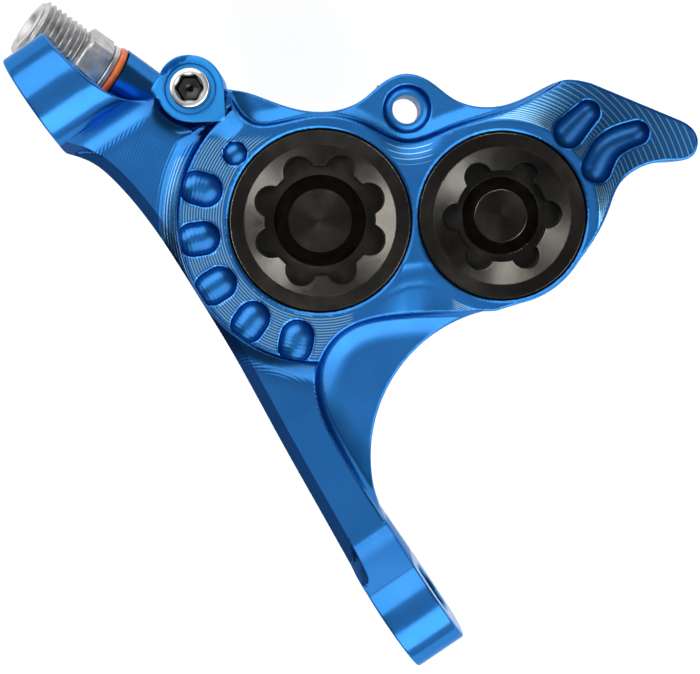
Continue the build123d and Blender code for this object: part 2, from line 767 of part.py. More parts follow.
# Pistons with their insulating inserts and their square seals, two in each half
for side, wall, inward in (("outboard", outboard_wall, 1), ("inboard", inboard_wall, -1)):
    for size, place, radius in (("large", large_at, large_piston_radius), ("small", small_at, small_piston_radius)):
        upright = upright_plane(*place)
        axle_line = Axis(upright.origin, (0, 0, 1))
        bore = radius + piston_clearance
        cup = radius - piston_wall
        back = wall + inward * piston_length
        cup_floor = back - inward * piston_floor
        with BuildPart() as piston:
            with BuildSketch(upright):
                with BuildLine():
                    Polyline(
                        (0, cup_floor), (cup, cup_floor), (cup, wall), (radius, wall),
                        (radius, back - inward * piston_edge), (radius - piston_edge, back), (0, back), (0, cup_floor),
                    )
                make_face()
            revolve(axis=axle_line)
        save(piston.part, f"{side}_{size}_piston")
        with BuildPart() as piston_insert:
            with BuildSketch(upright):
                with BuildLine():
                    Polyline(
                        (0, cup_floor), (cup - insert_clearance, cup_floor),
                        (cup - insert_clearance, wall - inward * insert_proud), (0, wall - inward * insert_proud),
                        (0, cup_floor),
                    )
                make_face()
            revolve(axis=axle_line)
        save(piston_insert.part, f"{side}_{size}_piston_insert")
        groove_start = wall + inward * seal_depth_in_bore
        groove_end = groove_start + inward * (seal_section - seal_clearance)
        with BuildPart() as seal:
            with BuildSketch(upright):
                with BuildLine():
                    Polyline(
                        (radius + insert_clearance, groove_start), (bore + seal_section - seal_clearance, groove_start),
                        (bore + seal_section - seal_clearance, groove_end), (radius + insert_clearance, groove_end),
                        (radius + insert_clearance, groove_start),
                    )
                make_face()
            revolve(axis=axle_line)
        save(seal.part, f"{side}_{size}_piston_seal")

# Pads, one on each side of the rotor: a steel plate with its friction block
pad_middle = (pad_reach_out - pad_reach_in) / 2
for side, wall, inward in (("outboard", outboard_wall, 1), ("inboard", inboard_wall, -1)):
    plate_back = wall - inward * insert_proud
    plate_front = plate_back - inward * plate_thickness
    with BuildPart() as pad_plate:
        with BuildSketch(along_bores(plate_front)):
            with Locations((0, pad_middle)):
                RectangleRounded(pad_length, pad_reach_in + pad_reach_out, pad_corner)
            with BuildLine():
                Polyline(*pad_ear, pad_ear[0])
            make_face()
            with Locations(pin_place):
                Circle(pad_ear_radius)
                Circle(pad_pin_radius + pad_hole_clearance, mode=Mode.SUBTRACT)
        extrude(amount=inward * plate_thickness)
    save(pad_plate.part, f"{side}_pad_plate")
    with BuildPart() as pad_friction:
        with BuildSketch(along_bores(plate_front)):
            with Locations((0, pad_middle)):
                RectangleRounded(
                    pad_length - 2 * friction_inset, pad_reach_in + pad_reach_out - 2 * friction_inset,
                    pad_corner - friction_inset,
                )
        extrude(amount=-inward * friction_thickness)
    save(pad_friction.part, f"{side}_pad_friction")

# Leaf spring that keeps the pads apart, over the rotor's rim
spring_top = outboard_wall - insert_proud - plate_thickness
spring_foot = inboard_wall + insert_proud + plate_thickness
spring_outer = pad_pin_out + pad_ear_radius - spring_thickness
spring_inner = pad_pin_out - pad_ear_radius
with BuildPart() as pad_spring:
    with BuildSketch(upright_side):
        with BuildLine():
            Polyline(
                (spring_inner, spring_foot), (spring_outer, spring_foot), (spring_outer, spring_top),
                (spring_inner, spring_top), (spring_inner, spring_top - spring_thickness),
                (spring_outer - spring_thickness, spring_top - spring_thickness),
                (spring_outer - spring_thickness, spring_foot + spring_thickness),
                (spring_inner, spring_foot + spring_thickness), (spring_inner, spring_foot),
            )
        make_face()
    extrude(amount=spring_half_width, both=True)
    add(
        drilling((*pin_place, inboard_wall), (*pin_place, outboard_wall), pad_pin_radius + pad_hole_clearance),
        mode=Mode.SUBTRACT,
    )
save(pad_spring.part, "pad_spring")

# Hose union, with the ring that seals it to its boss
with BuildPart() as hose_union:
    with BuildSketch(union_plane.offset(-union_spigot_length)):
        Circle(union_spigot_radius)
    extrude(amount=union_spigot_length)
    with BuildSketch(union_plane):
        Circle(union_shoulder_radius)
    extrude(amount=hose_oring_section)
    with BuildSketch(union_plane.offset(hose_oring_section)):
        Circle(union_collar_radius)
    extrude(amount=union_collar_length)
    with BuildSketch(union_plane.offset(hose_oring_section + union_collar_length)):
        RegularPolygon(union_hex_flats / 2, 6, major_radius=False, rotation=union_hex_angle)
    extrude(amount=union_hex_length)
    with BuildSketch(union_plane.offset(hose_oring_section + union_collar_length + union_hex_length)):
        Circle(union_thread_radius)
    extrude(amount=union_thread_length)
    thread_end = union_plane.offset(union_outer_length)
    chamfer(faces().sort_by(Axis(thread_end.origin, union_out))[-1].edges(), length=union_thread_chamfer)
    with BuildSketch(thread_end):
        Circle(union_bore_radius)
    extrude(amount=-union_outer_length - union_spigot_length, mode=Mode.SUBTRACT)
    with BuildSketch(thread_end):
        Circle(union_cone_radius)
    extrude(amount=-union_cone_depth, taper=union_cone_angle, mode=Mode.SUBTRACT)
save(hose_union.part, "hose_union")

with BuildPart() as hose_oring:
    with BuildSketch(Plane(origin=union_seat, x_dir=union_plane.x_dir, z_dir=union_plane.y_dir)):
        with Locations((hose_oring_radius, -hose_oring_section / 2)):
            Circle(hose_oring_section / 2)
    revolve(axis=Axis(union_seat, union_out))
save(hose_oring.part, "hose_oring")

# Bleed screw with its hexagon socket
bleed_upright = upright_plane(*lug_place)
with BuildPart() as bleed_screw:
    with BuildSketch(bleed_upright):
        with BuildLine():
            Polyline(
                (0, bleed_seat_height - bleed_shank_length),
                (bleed_shank_radius - bleed_rim_width, bleed_seat_height - bleed_shank_length),
                (bleed_shank_radius, bleed_seat_height - bleed_shank_length + bleed_rim_width),
                (bleed_shank_radius, bleed_seat_height), (bleed_head_radius, bleed_seat_height),
                (bleed_head_radius, bleed_seat_height + bleed_head_height - bleed_rim_width / 2),
                (bleed_head_radius - bleed_rim_width / 2, bleed_seat_height + bleed_head_height),
                (0, bleed_seat_height + bleed_head_height), (0, bleed_seat_height - bleed_shank_length),
            )
        make_face()
    revolve(axis=Axis(bleed_upright.origin, (0, 0, 1)))
    with BuildSketch(along_bores(bleed_seat_height + bleed_head_height - bleed_socket_depth)):
        with Locations(lug_place):
            RegularPolygon(bleed_socket_flats / 2, 6, major_radius=False)
    extrude(amount=bleed_socket_depth, mode=Mode.SUBTRACT)
save(bleed_screw.part, "bleed_screw")
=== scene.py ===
"""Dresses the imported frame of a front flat-mount brake caliper for a studio picture.

Every size below is in millimetres, in the caliper's own frame: X along the mounting feet, Y out of them, Z up the
wheel's axle. Metres appear only where a mesh, a light or the camera is handed to Blender.
"""

import logging
from dataclasses import dataclass, field
from enum import Enum
from math import cos, pi, radians, sin, tan

import bpy
import numpy as np
from mathutils import Matrix, Vector


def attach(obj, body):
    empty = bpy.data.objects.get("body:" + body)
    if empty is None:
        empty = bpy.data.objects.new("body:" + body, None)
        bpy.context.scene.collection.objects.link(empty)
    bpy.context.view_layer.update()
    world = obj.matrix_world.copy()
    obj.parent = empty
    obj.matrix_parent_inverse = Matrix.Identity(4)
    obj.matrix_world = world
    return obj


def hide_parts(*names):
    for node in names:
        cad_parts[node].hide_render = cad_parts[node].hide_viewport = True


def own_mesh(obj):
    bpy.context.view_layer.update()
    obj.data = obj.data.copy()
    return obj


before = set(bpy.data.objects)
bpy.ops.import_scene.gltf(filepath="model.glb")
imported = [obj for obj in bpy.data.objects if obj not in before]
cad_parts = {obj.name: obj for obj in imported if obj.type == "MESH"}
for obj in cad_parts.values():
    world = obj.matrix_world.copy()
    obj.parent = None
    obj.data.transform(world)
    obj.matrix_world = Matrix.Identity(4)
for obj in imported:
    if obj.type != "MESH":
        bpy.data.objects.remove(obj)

MM = 0.001
CHUNK = 16384  # places worked on at once
FAR = 9.0  # past the reach of every rounded edge
LOG = logging.getLogger("caliper")
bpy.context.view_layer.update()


class Border(Enum):
    """The borders at which the machined face changes height or finish."""

    BLOCK = "block"
    TERRACE = "terrace"
    RAISED = "raised"
    BROW = "brow"
    STEP = "step"
    HOLLOW = "hollow"
    LUG = "lug"
    LUG_TIPS = "lug tips"
    LUG_RECESS = "lug recess"
    LUG_SEAT = "lug seat"
    PIN_SEAT = "pin seat"
    PIN_HOLE = "pin hole"
    LARGE_SEAT = "large seat"
    SMALL_SEAT = "small seat"
    FLUTES = "flutes"
    DIMPLE = "dimple"
    SLOTS = "slots"
    FORK_EDGE = "fork edge"
    UPPER_EAR = "upper ear"
    LOWER_EAR = "lower ear"
    POCKET = "pocket"
    HUB = "hub"


# ---------------------------------------------------------------- curves and fields


def bore_to_row(points: np.ndarray) -> np.ndarray:
    """Turn places in the bores' frame into X and Y of the caliper.

    Args:
        points: places along and out of the bores' line, one row each.

    Returns:
        The same places as X and Y.
    """
    return BORE_MIDDLE + points @ BORE_AXES


def row_to_bore(points: np.ndarray) -> np.ndarray:
    """Turn X and Y of the caliper into places along and out of the bores' line."""
    return (points - BORE_MIDDLE) @ BORE_AXES.T


BORE_MIDDLE = np.array([-1.2, 27.6])
BORE_ANGLE = radians(57.2)
BORE_AXES = np.array([[cos(BORE_ANGLE), sin(BORE_ANGLE)], [-sin(BORE_ANGLE), cos(BORE_ANGLE)]])


def smooth_curve(points: np.ndarray, step: float = 0.2) -> np.ndarray:
    """A C2 cubic through the points, by chord length, with its ends free of bending.

    Second derivatives at the knots come from the usual three-term system, and each stretch is the cubic with
    those second derivatives at its ends.

    Args:
        points: the knots, one row each.
        step: distance between the places that come back.

    Returns:
        Places along the curve, the first and last knot among them.
    """
    points = np.asarray(points, float)
    chord = np.linalg.norm(np.diff(points, axis=0), axis=1)
    knots = np.concatenate([[0], np.cumsum(chord)])
    count = len(points)
    system = np.eye(count)
    right = np.zeros_like(points)
    inner = np.arange(1, count - 1)
    system[inner, inner - 1] = chord[:-1]
    system[inner, inner] = 2 * (chord[:-1] + chord[1:])
    system[inner, inner + 1] = chord[1:]
    slopes = np.diff(points, axis=0) / chord[:, None]
    right[1:-1] = 6 * np.diff(slopes, axis=0)
    bend = np.linalg.solve(system, right)
    where = np.linspace(0, knots[-1], max(int(knots[-1] / step), 8) + 1)
    span = np.clip(np.searchsorted(knots, where, side="right") - 1, 0, count - 2)
    size = chord[span][:, None]
    after = (where - knots[span])[:, None]
    before = size - after
    return (
        bend[span] * before**3 / (6 * size)
        + bend[span + 1] * after**3 / (6 * size)
        + (points[span] / size - bend[span] * size / 6) * before
        + (points[span + 1] / size - bend[span + 1] * size / 6) * after
    )


def arc(centre: tuple[float, float], radius: float, start: float, end: float, count: int = 40) -> np.ndarray:
    """Places on a circle from one angle to another, in degrees."""
    angle = np.radians(np.linspace(start, end, count))
    return np.stack([centre[0] + radius * np.cos(angle), centre[1] + radius * np.sin(angle)], axis=1)


def line_distance(places: np.ndarray, line: np.ndarray) -> np.ndarray:
    """Distance from each place to the nearest point of a run of straight pieces.

    Each place is dropped at right angles on each piece, held within the piece's ends, and the least distance wins.

    Args:
        places: places, one row each.
        line: corners of the run.

    Returns:
        One distance for each place.
    """
    start, along = line[:-1], np.diff(line, axis=0)
    size = np.maximum((along**2).sum(1), 1e-12)
    nearest = np.empty(len(places))
    for first in range(0, len(places), CHUNK):
        part = places[first : first + CHUNK]
        gap = part[:, None, :] - start[None]
        share = np.clip((gap * along[None]).sum(2) / size, 0, 1)
        gap -= share[:, :, None] * along[None]
        nearest[first : first + CHUNK] = np.sqrt((gap**2).sum(2).min(1))
    return nearest


def ring_field(places: np.ndarray, ring: np.ndarray) -> np.ndarray:
    """Distance to a closed outline, less than zero inside it.

    A place is inside where a line drawn from it towards +X crosses the outline an odd number of times.

    Args:
        places: places, one row each.
        ring: corners of the outline, in order.

    Returns:
        One signed distance for each place.
    """
    closed = np.vstack([ring, ring[:1]])
    inside = np.zeros(len(places), bool)
    x0, y0 = closed[:-1].T
    x1, y1 = closed[1:].T
    rise = np.where(y1 == y0, 1e-12, y1 - y0)
    for first in range(0, len(places), CHUNK):
        x, y = places[first : first + CHUNK].T[:, :, None]
        crosses = ((y0 > y) != (y1 > y)) & (x < x0 + (y - y0) * (x1 - x0) / rise)
        inside[first : first + CHUNK] = crosses.sum(1) % 2 == 1
    return np.where(inside, -1, 1) * line_distance(places, closed)


def capsule_distance(places: np.ndarray, start: np.ndarray, end: np.ndarray) -> tuple[np.ndarray, np.ndarray]:
    """Distance from a straight cutter path, and the share of the path at its nearest point."""
    along = end - start
    share = np.clip(((places - start) @ along) / (along @ along), 0, 1)
    return np.linalg.norm(places - start - share[:, None] * along, axis=1), share


def fillet_rise(gap: np.ndarray, radius: float) -> np.ndarray:
    """Rise of a concave round, or fall of a rounded edge, at a distance from its wall: a quarter circle."""
    inside = np.clip(radius - gap, 0, radius)
    return radius - np.sqrt(np.maximum(radius**2 - inside**2, 0))


def bowl_depth(gap: np.ndarray, radius: float, depth: float) -> np.ndarray:
    """Depth at a distance from a bowl's middle: the sphere through the rim of this radius that is this deep."""
    ball = (radius**2 + depth**2) / (2 * depth)
    return np.sqrt(np.maximum(ball**2 - np.minimum(gap, radius) ** 2, 0)) - ball + depth


# ---------------------------------------------------------------- meshes


@dataclass
class Shell:
    """Points and faces of one piece while it is being worked out."""

    points: np.ndarray
    faces: list[np.ndarray]
    marks: dict[str, np.ndarray] = field(default_factory=dict)
    patches: dict[str, np.ndarray] = field(default_factory=dict)

    def joined(self, other: "Shell") -> "Shell":
        """This shell and another as one, with the marks of both."""
        shift = len(self.points)
        marks = {
            name: np.concatenate([
                self.marks.get(name, np.zeros(shift)), other.marks.get(name, np.zeros(len(other.points)))
            ])
            for name in {*self.marks, *other.marks}
        }
        return Shell(
            np.vstack([self.points, other.points]), [*self.faces, *[faces + shift for faces in other.faces]], marks
        )

    def build(self, name: str, sharp: float = 32.0) -> bpy.types.Object:
        """Make the Blender object, smooth but for edges sharper than an angle.

        Args:
            name: the piece's name.
            sharp: the angle in degrees past which an edge stays crisp.

        Returns:
            The new object, at the origin, with its place in its mesh.
        """
        mesh = bpy.data.meshes.new(name)
        faces = [face for group in self.faces for face in group.tolist()]
        mesh.from_pydata((self.points * MM).tolist(), [], faces)
        for mark, values in self.marks.items():
            layer = mesh.attributes.new(mark, "FLOAT", "POINT")
            layer.data.foreach_set("value", values.astype(np.float32))
        for mark, values in self.patches.items():
            layer = mesh.attributes.new(mark, "FLOAT", "FACE")
            layer.data.foreach_set("value", values.astype(np.float32))
        mesh.validate()
        mesh.shade_smooth()
        mesh.set_sharp_from_angle(angle=radians(sharp))
        piece = bpy.data.objects.new(name, mesh)
        bpy.context.scene.collection.objects.link(piece)
        return piece


def grid_faces(rows: int, columns: int, round_columns: bool = True) -> np.ndarray:
    """Quads between the points of a grid stored row by row, closed on itself across its columns if asked."""
    row = np.arange(rows - 1)[:, None]
    column = np.arange(columns if round_columns else columns - 1)[None]
    here = row * columns + column
    right = row * columns + (column + 1) % columns
    return np.stack([here, right, right + columns, here + columns], axis=-1).reshape(-1, 4)


@dataclass
class FlatNet:
    """A flat net of triangles that can be cut along any level of a field kept at its points."""

    points: np.ndarray
    faces: np.ndarray
    fields: dict[Border, np.ndarray]

    @staticmethod
    def over(low: np.ndarray, high: np.ndarray, cell: float) -> "FlatNet":
        """An even net over a rectangle.

        Args:
            low: the rectangle's lowest corner.
            high: the rectangle's highest corner.
            cell: length of a cell's side.

        Returns:
            The net, with every other cell's diagonal turned, and no fields yet.
        """
        counts = np.ceil((high - low) / cell).astype(int) + 1
        x = np.linspace(low[0], high[0], counts[0])
        y = np.linspace(low[1], high[1], counts[1])
        points = np.stack(np.meshgrid(x, y), axis=-1).reshape(-1, 2)
        a, b, c, d = grid_faces(counts[1], counts[0], False).T
        turned = (a + a // counts[0]) % 2 == 0
        first = np.where(turned[:, None], np.stack([a, b, c], 1), np.stack([a, b, d], 1))
        second = np.where(turned[:, None], np.stack([a, c, d], 1), np.stack([b, c, d], 1))
        return FlatNet(points, np.vstack([first, second]), {})

    def drop(self, faces: np.ndarray) -> None:
        """Leave out the faces marked, and the points that only they used."""
        self.faces = self.faces[~faces]
        used, again = np.unique(self.faces, return_inverse=True)
        self.faces = again.reshape(-1, 3)
        self.points = self.points[used]
        self.fields = {name: values[used] for name, values in self.fields.items()}

    def cut(self, border: Border, level: float = 0.0) -> None:
        """Split every face that the level of a field crosses, so that the level runs along edges.

        A face with one corner on the far side becomes three, and one that the level enters at a corner becomes
        two. New points, and the other fields there, come from straight shares along the crossed edges.

        Args:
            border: the field's name.
            level: the value to cut along.
        """
        value = self.fields[border] - level
        value[np.abs(value) < 2e-3] = 0
        self.fields[border] = value + level
        corner = value[self.faces]
        crossed = corner * np.roll(corner, -1, axis=1) < 0
        hits = crossed.sum(1)
        ends = np.stack([self.faces, np.roll(self.faces, -1, axis=1)], axis=2)
        edges, edge_of = np.unique(np.sort(ends[crossed], axis=1), axis=0, return_inverse=True)
        edge_of = edge_of.reshape(-1)
        if not len(edges):
            return
        low, high = value[edges[:, 0]], value[edges[:, 1]]
        share = low / (low - high)
        fresh = np.arange(len(edges)) + len(self.points)
        new_at = np.full(self.faces.shape, -1)
        new_at[crossed] = fresh[edge_of]

        def between(values: np.ndarray) -> np.ndarray:
            start, end = values[edges[:, 0]], values[edges[:, 1]]
            weight = share[:, None] if values.ndim == 2 else share
            return np.concatenate([values, start + (end - start) * weight])

        self.points = between(self.points)
        self.fields = {name: between(values) for name, values in self.fields.items()}
        self.fields[border][fresh] = level
        whole = self.faces[hits == 0]
        once = hits == 1
        turn = np.argmax(crossed[once], axis=1)
        order = (turn[:, None] + np.arange(3)) % 3
        a, b, c = np.take_along_axis(self.faces[once], order, 1).T
        p = new_at[once].max(1)
        halves = np.vstack([np.stack([a, p, c], 1), np.stack([p, b, c], 1)])
        twice = hits == 2
        turn = (np.argmin(crossed[twice], axis=1) + 2) % 3
        order = (turn[:, None] + np.arange(3)) % 3
        a, b, c = np.take_along_axis(self.faces[twice], order, 1).T
        marks = np.take_along_axis(new_at[twice], order, 1)
        p, q = marks[:, 0], marks[:, 2]
        thirds = np.vstack([np.stack([a, p, q], 1), np.stack([p, b, c], 1), np.stack([p, c, q], 1)])
        self.faces = np.vstack([whole, halves, thirds])

    def inside(self, border: Border) -> np.ndarray:
        """Which faces lie on the inner side of a border, where its field is below zero."""
        return self.fields[border][self.faces].mean(1) < 0

    def raised(
        self, height: np.ndarray, floors: np.ndarray, marks: dict[str, np.ndarray], patches: dict[str, np.ndarray]
    ) -> Shell:
        """Lift the net to the heights of its faces' corners and close every jump with an upright wall.

        Args:
            height: height at each corner of each face.
            floors: the level to which a wall goes down from the net's open edges, at each point.
            marks: values at each corner of each face to keep on the points.
            patches: values of the faces, which each wall takes from the face above it.

        Returns:
            The lifted net as one shell.
        """
        key = self.faces.reshape(-1).astype(np.int64) * 4_000_000 + np.round(height.reshape(-1) * 500).astype(int)
        key += 1_000_000
        _, first, again = np.unique(key, return_index=True, return_inverse=True)
        again = again.reshape(-1)
        flat = self.points[self.faces.reshape(-1)[first]]
        points = np.column_stack([flat, height.reshape(-1)[first]])
        kept = {name: values.reshape(-1)[first] for name, values in marks.items()}
        faces = again.reshape(-1, 3)
        start = np.concatenate([self.faces[:, k] for k in range(3)])
        end = np.concatenate([self.faces[:, (k + 1) % 3] for k in range(3)])
        top_start = np.concatenate([faces[:, k] for k in range(3)])
        top_end = np.concatenate([faces[:, (k + 1) % 3] for k in range(3)])
        pair = np.minimum(start, end) * (len(self.points) + 1) + np.maximum(start, end)
        order = np.argsort(pair, kind="stable")
        same = pair[order][1:] == pair[order][:-1]
        one, two = order[:-1][same], order[1:][same]
        alone = np.ones(len(pair), bool)
        alone[one] = alone[two] = False
        gap = points[top_start[one], 2] + points[top_end[one], 2] - points[top_start[two], 2] - points[top_end[two], 2]
        upper, lower = np.where(gap > 0, one, two), np.where(gap > 0, two, one)
        jump = (top_start[upper] != top_end[lower]) | (top_end[upper] != top_start[lower])
        upper, lower = upper[jump], lower[jump]
        count = len(faces)
        patches = {
            name: np.concatenate([values, values[upper % count], values[np.flatnonzero(alone) % count]])
            for name, values in patches.items()
        }
        walls = np.stack([top_start[upper], top_end[lower], top_start[lower], top_end[upper]], axis=1)
        edge = np.flatnonzero(alone)
        foot_of, foot_again = np.unique(np.concatenate([start[edge], end[edge]]), return_inverse=True)
        feet = np.column_stack([self.points[foot_of], floors[foot_of]])
        foot = foot_again.reshape(2, -1) + len(points)
        skirts = np.stack([top_start[edge], foot[0], foot[1], top_end[edge]], axis=1)
        kept = {name: np.concatenate([values, np.zeros(len(feet))]) for name, values in kept.items()}
        return Shell(np.vstack([points, feet]), [faces, walls, skirts], kept, patches)


def about_axis(
    place: np.ndarray, along: np.ndarray, out: np.ndarray, reach: np.ndarray, angle: np.ndarray, side: np.ndarray
) -> np.ndarray:
    """Places about an axis: the way along it, and the reach from it at an angle from one side, row by row."""
    ring = np.cos(angle)[:, :, None] * side + np.sin(angle)[:, :, None] * np.cross(out, side)
    return (place + along[:, :, None] * out + reach[:, :, None] * ring).reshape(-1, 3)


@dataclass(frozen=True)
class Station:
    """One ring of a turned surface: its radius, its height, and how far it is a hexagon instead of a circle."""

    radius: float
    height: float
    hexagon: float = 0.0


def turned(
    stations: list[Station], place: np.ndarray, up: np.ndarray, side: np.ndarray, turns: int = 96, lead: float = 0.0
) -> Shell:
    """A surface through rings about an axis.

    The radius at an angle is the ring's own, or for a hexagon the flats' distance over the cosine of the angle from
    the nearest flat's middle, and a share between the two mixes them.

    Args:
        stations: the rings, from the start of the profile to its end.
        place: a point of the axis at height zero.
        up: direction of the axis.
        side: a direction across it, towards a hexagon's flat.
        turns: points round each ring.
        lead: angle in degrees by which the hexagon is turned.

    Returns:
        The surface, with the profile's length kept as a mark.
    """
    radius = np.array([station.radius for station in stations])[:, None]
    height = np.array([station.height for station in stations])[:, None]
    share = np.array([station.hexagon for station in stations])[:, None]
    angle = np.linspace(0, 2 * pi, turns, endpoint=False)[None]
    flat = 1 / np.cos((angle - radians(lead) + pi / 6) % (pi / 3) - pi / 6)
    reach = radius * (1 + share * (flat - 1))
    up, side = up / np.linalg.norm(up), side / np.linalg.norm(side)
    points = about_axis(place, height, up, reach, angle, side)
    way = np.concatenate([[0], np.cumsum(np.hypot(np.diff(radius[:, 0]), np.diff(height[:, 0])))])
    marks = {"way": np.repeat(way, turns)}
    return Shell(points, [grid_faces(len(stations), turns)], marks)


# ---------------------------------------------------------------- finishes


class Nodes:
    """A material's node tree, with short calls for the patterns that the finishes share."""

    def __init__(self, name: str) -> None:
        """Start a material with an empty tree but for its output and its shader."""
        self.material = bpy.data.materials.new(name)
        self.material.use_nodes = True
        self.tree = self.material.node_tree
        self.shader = self.tree.nodes["Principled BSDF"]

    def add(self, kind: str, **settings: object) -> bpy.types.Node:
        """Add a node and set its properties, or its inputs where the name is an input's."""
        node = self.tree.nodes.new(kind)
        for name, value in settings.items():
            if hasattr(node, name):
                setattr(node, name, value)
            else:
                node.inputs[name.replace("_", " ").title()].default_value = value
        return node

    def link(self, out: bpy.types.NodeSocket, into: bpy.types.NodeSocket) -> None:
        """Join two sockets."""
        self.tree.links.new(out, into)

    def sum(self, operation: str, first: object, second: object = 0.0) -> bpy.types.NodeSocket:
        """One step of arithmetic on sockets or plain numbers.

        Args:
            operation: the Math node's operation.
            first: a socket or a number.
            second: a socket or a number.

        Returns:
            The result's socket.
        """
        node = self.add("ShaderNodeMath", operation=operation)
        for slot, value in enumerate((first, second)):
            if isinstance(value, bpy.types.NodeSocket):
                self.link(value, node.inputs[slot])
            else:
                node.inputs[slot].default_value = value
        return node.outputs[0]

    def place(self) -> bpy.types.NodeSocket:
        """The piece's own coordinates, in metres."""
        return self.add("ShaderNodeTexCoord").outputs["Object"]

    def mark(self, name: str) -> bpy.types.NodeSocket:
        """A number kept on the piece's points."""
        return self.add("ShaderNodeAttribute", attribute_name=name).outputs["Fac"]

    def speckle(self, scale: float, detail: float = 4.0, stretch: tuple = (1, 1, 1)) -> bpy.types.NodeSocket:
        """Soft noise over the piece's own coordinates.

        Args:
            scale: patches in a metre.
            detail: octaves of finer noise.
            stretch: how much denser the noise is along X, Y and Z.

        Returns:
            The noise's socket, from 0 to 1.
        """
        mapping = self.add("ShaderNodeMapping")
        mapping.inputs["Scale"].default_value = stretch
        self.link(self.place(), mapping.inputs["Vector"])
        noise = self.add("ShaderNodeTexNoise", scale=scale, detail=detail)
        self.link(mapping.outputs["Vector"], noise.inputs["Vector"])
        return noise.outputs["Fac"]

    def ridges(self, way: bpy.types.NodeSocket, pitch: float) -> bpy.types.NodeSocket:
        """The cusps that a round cutter leaves at each pitch: the size of a sine of half the way."""
        turn = self.sum("MULTIPLY", way, pi / pitch)
        return self.sum("ABSOLUTE", self.sum("SINE", turn))

    def ramp(self, value: bpy.types.NodeSocket, low: float, high: float, out: tuple = (0, 1)) -> bpy.types.NodeSocket:
        """Stretch a range of a value over another, held at its ends."""
        node = self.add("ShaderNodeMapRange")
        self.link(value, node.inputs["Value"])
        for name, number in zip(("From Min", "From Max", "To Min", "To Max"), (low, high, *out)):
            node.inputs[name].default_value = number
        return node.outputs["Result"]

    def blend(self, share: bpy.types.NodeSocket, first: object, second: object) -> bpy.types.NodeSocket:
        """A colour between two, each a colour or a socket, by a share."""
        node = self.add("ShaderNodeMix", data_type="RGBA")
        self.link(share, node.inputs["Factor"])
        for name, colour in (("A", first), ("B", second)):
            if isinstance(colour, bpy.types.NodeSocket):
                self.link(colour, node.inputs[name])
            else:
                node.inputs[name].default_value = (*colour, 1)
        return node.outputs["Result"]

    def relief(self, height: bpy.types.NodeSocket, depth: float, strength: float = 1.0) -> None:
        """Let a height bend the light on the surface, over any relief that is already there.

        Args:
            height: the height's socket, from 0 to 1.
            depth: metres from 0 to 1.
            strength: share of the bump that is used.
        """
        bump = self.add("ShaderNodeBump")
        bump.inputs["Distance"].default_value = depth
        bump.inputs["Strength"].default_value = strength
        self.link(height, bump.inputs["Height"])
        normal = self.shader.inputs["Normal"]
        if normal.is_linked:
            self.link(normal.links[0].from_socket, bump.inputs["Normal"])
        self.link(bump.outputs["Normal"], normal)

    def feed(self, **sockets: bpy.types.NodeSocket) -> None:
        """Link sockets into the shader's inputs; a name's underscores stand for spaces."""
        for name, socket in sockets.items():
            self.link(socket, self.shader.inputs[name.replace("_", " ")])

    def set(self, **values: object) -> None:
        """Set constants on the shader's own sockets; a name's underscores stand for spaces."""
        for name, value in values.items():
            self.shader.inputs[name.replace("_", " ")].default_value = value


@dataclass(frozen=True)
class AnodisedBlue:
    """Bright blue anodising over milled aluminium, with the cutter's paths still in it."""

    colour: tuple = (0.012, 0.135, 0.42)
    pale: tuple = (0.018, 0.155, 0.46)
    # Painted shade: the dark blue that faces with a low tone value or a shadow mark are darkened towards.
    deep: tuple = (0.002, 0.045, 0.17)
    # Painted highlight: the lighter blue that faces with a high tone value, such as the lug's, are painted towards; the
    # mark of the same name also roughens faces to a satin finish.
    satin_and_painted_highlight: tuple = (0.03, 0.33, 0.85)
    ridge: tuple = (0.3, 0.54, 0.68)
    roughness: float = 0.2
    coat: float = 0.22
    edge: tuple = (0.25, 0.55, 0.86)
    path_pitch: float = 0.34

    def make(self) -> bpy.types.Material:
        """Build the material: dye under a clear oxide coat, painted shade and painted highlight from the faces' tone
        and shadow values, path cusps, and pale ridges between contour cuts.
        """
        nodes = Nodes("blue_anodising")
        tone = nodes.ramp(nodes.speckle(160, 5), 0.3, 0.7)
        dye_and_painted_light = nodes.blend(tone, self.colour, self.pale)
        # Painted shade and highlight: each face's tone value darkens it towards the deep colour or lightens it towards
        # the satin one.
        painted_light_level = nodes.mark("tone")
        dye_and_painted_light = nodes.blend(nodes.ramp(painted_light_level, -1, 0, (1, 0)), dye_and_painted_light, self.deep)
        dye_and_painted_light = nodes.blend(nodes.ramp(painted_light_level, 0, 1), dye_and_painted_light, self.satin_and_painted_highlight)
        step = nodes.sum("FRACT", nodes.mark("line_phase"))
        share = nodes.mark("line_share")
        ridge = nodes.sum("MULTIPLY", nodes.sum("LESS_THAN", step, share), 0.75)
        # Painted shadow: the shadow mark darkens the colour towards the deep one.
        dye_and_painted_light = nodes.blend(nodes.sum("MULTIPLY", nodes.mark("shadow"), 0.75), dye_and_painted_light, self.deep)
        nodes.feed(Base_Color=nodes.blend(ridge, dye_and_painted_light, self.ridge))
        nodes.set(Metallic=1.0, Coat_Weight=self.coat, Coat_Roughness=0.12, Coat_IOR=1.5)
        nodes.set(Specular_Tint=(*self.edge, 1))
        depth = nodes.mark("tool_depth")
        path = nodes.ridges(nodes.mark("tool_way"), self.path_pitch)
        nodes.relief(nodes.sum("MULTIPLY", path, depth), 0.000016, 1.0)
        nodes.relief(nodes.speckle(2600, 3), 0.000004, 0.5)
        wear = nodes.ramp(nodes.speckle(420, 6), 0.35, 0.75, (self.roughness - 0.03, self.roughness + 0.06))
        satin_and_painted_highlight = nodes.sum("MULTIPLY", nodes.mark("satin_and_painted_highlight"), 0.35)
        nodes.feed(Roughness=nodes.sum("ADD", wear, satin_and_painted_highlight))
        return nodes.material


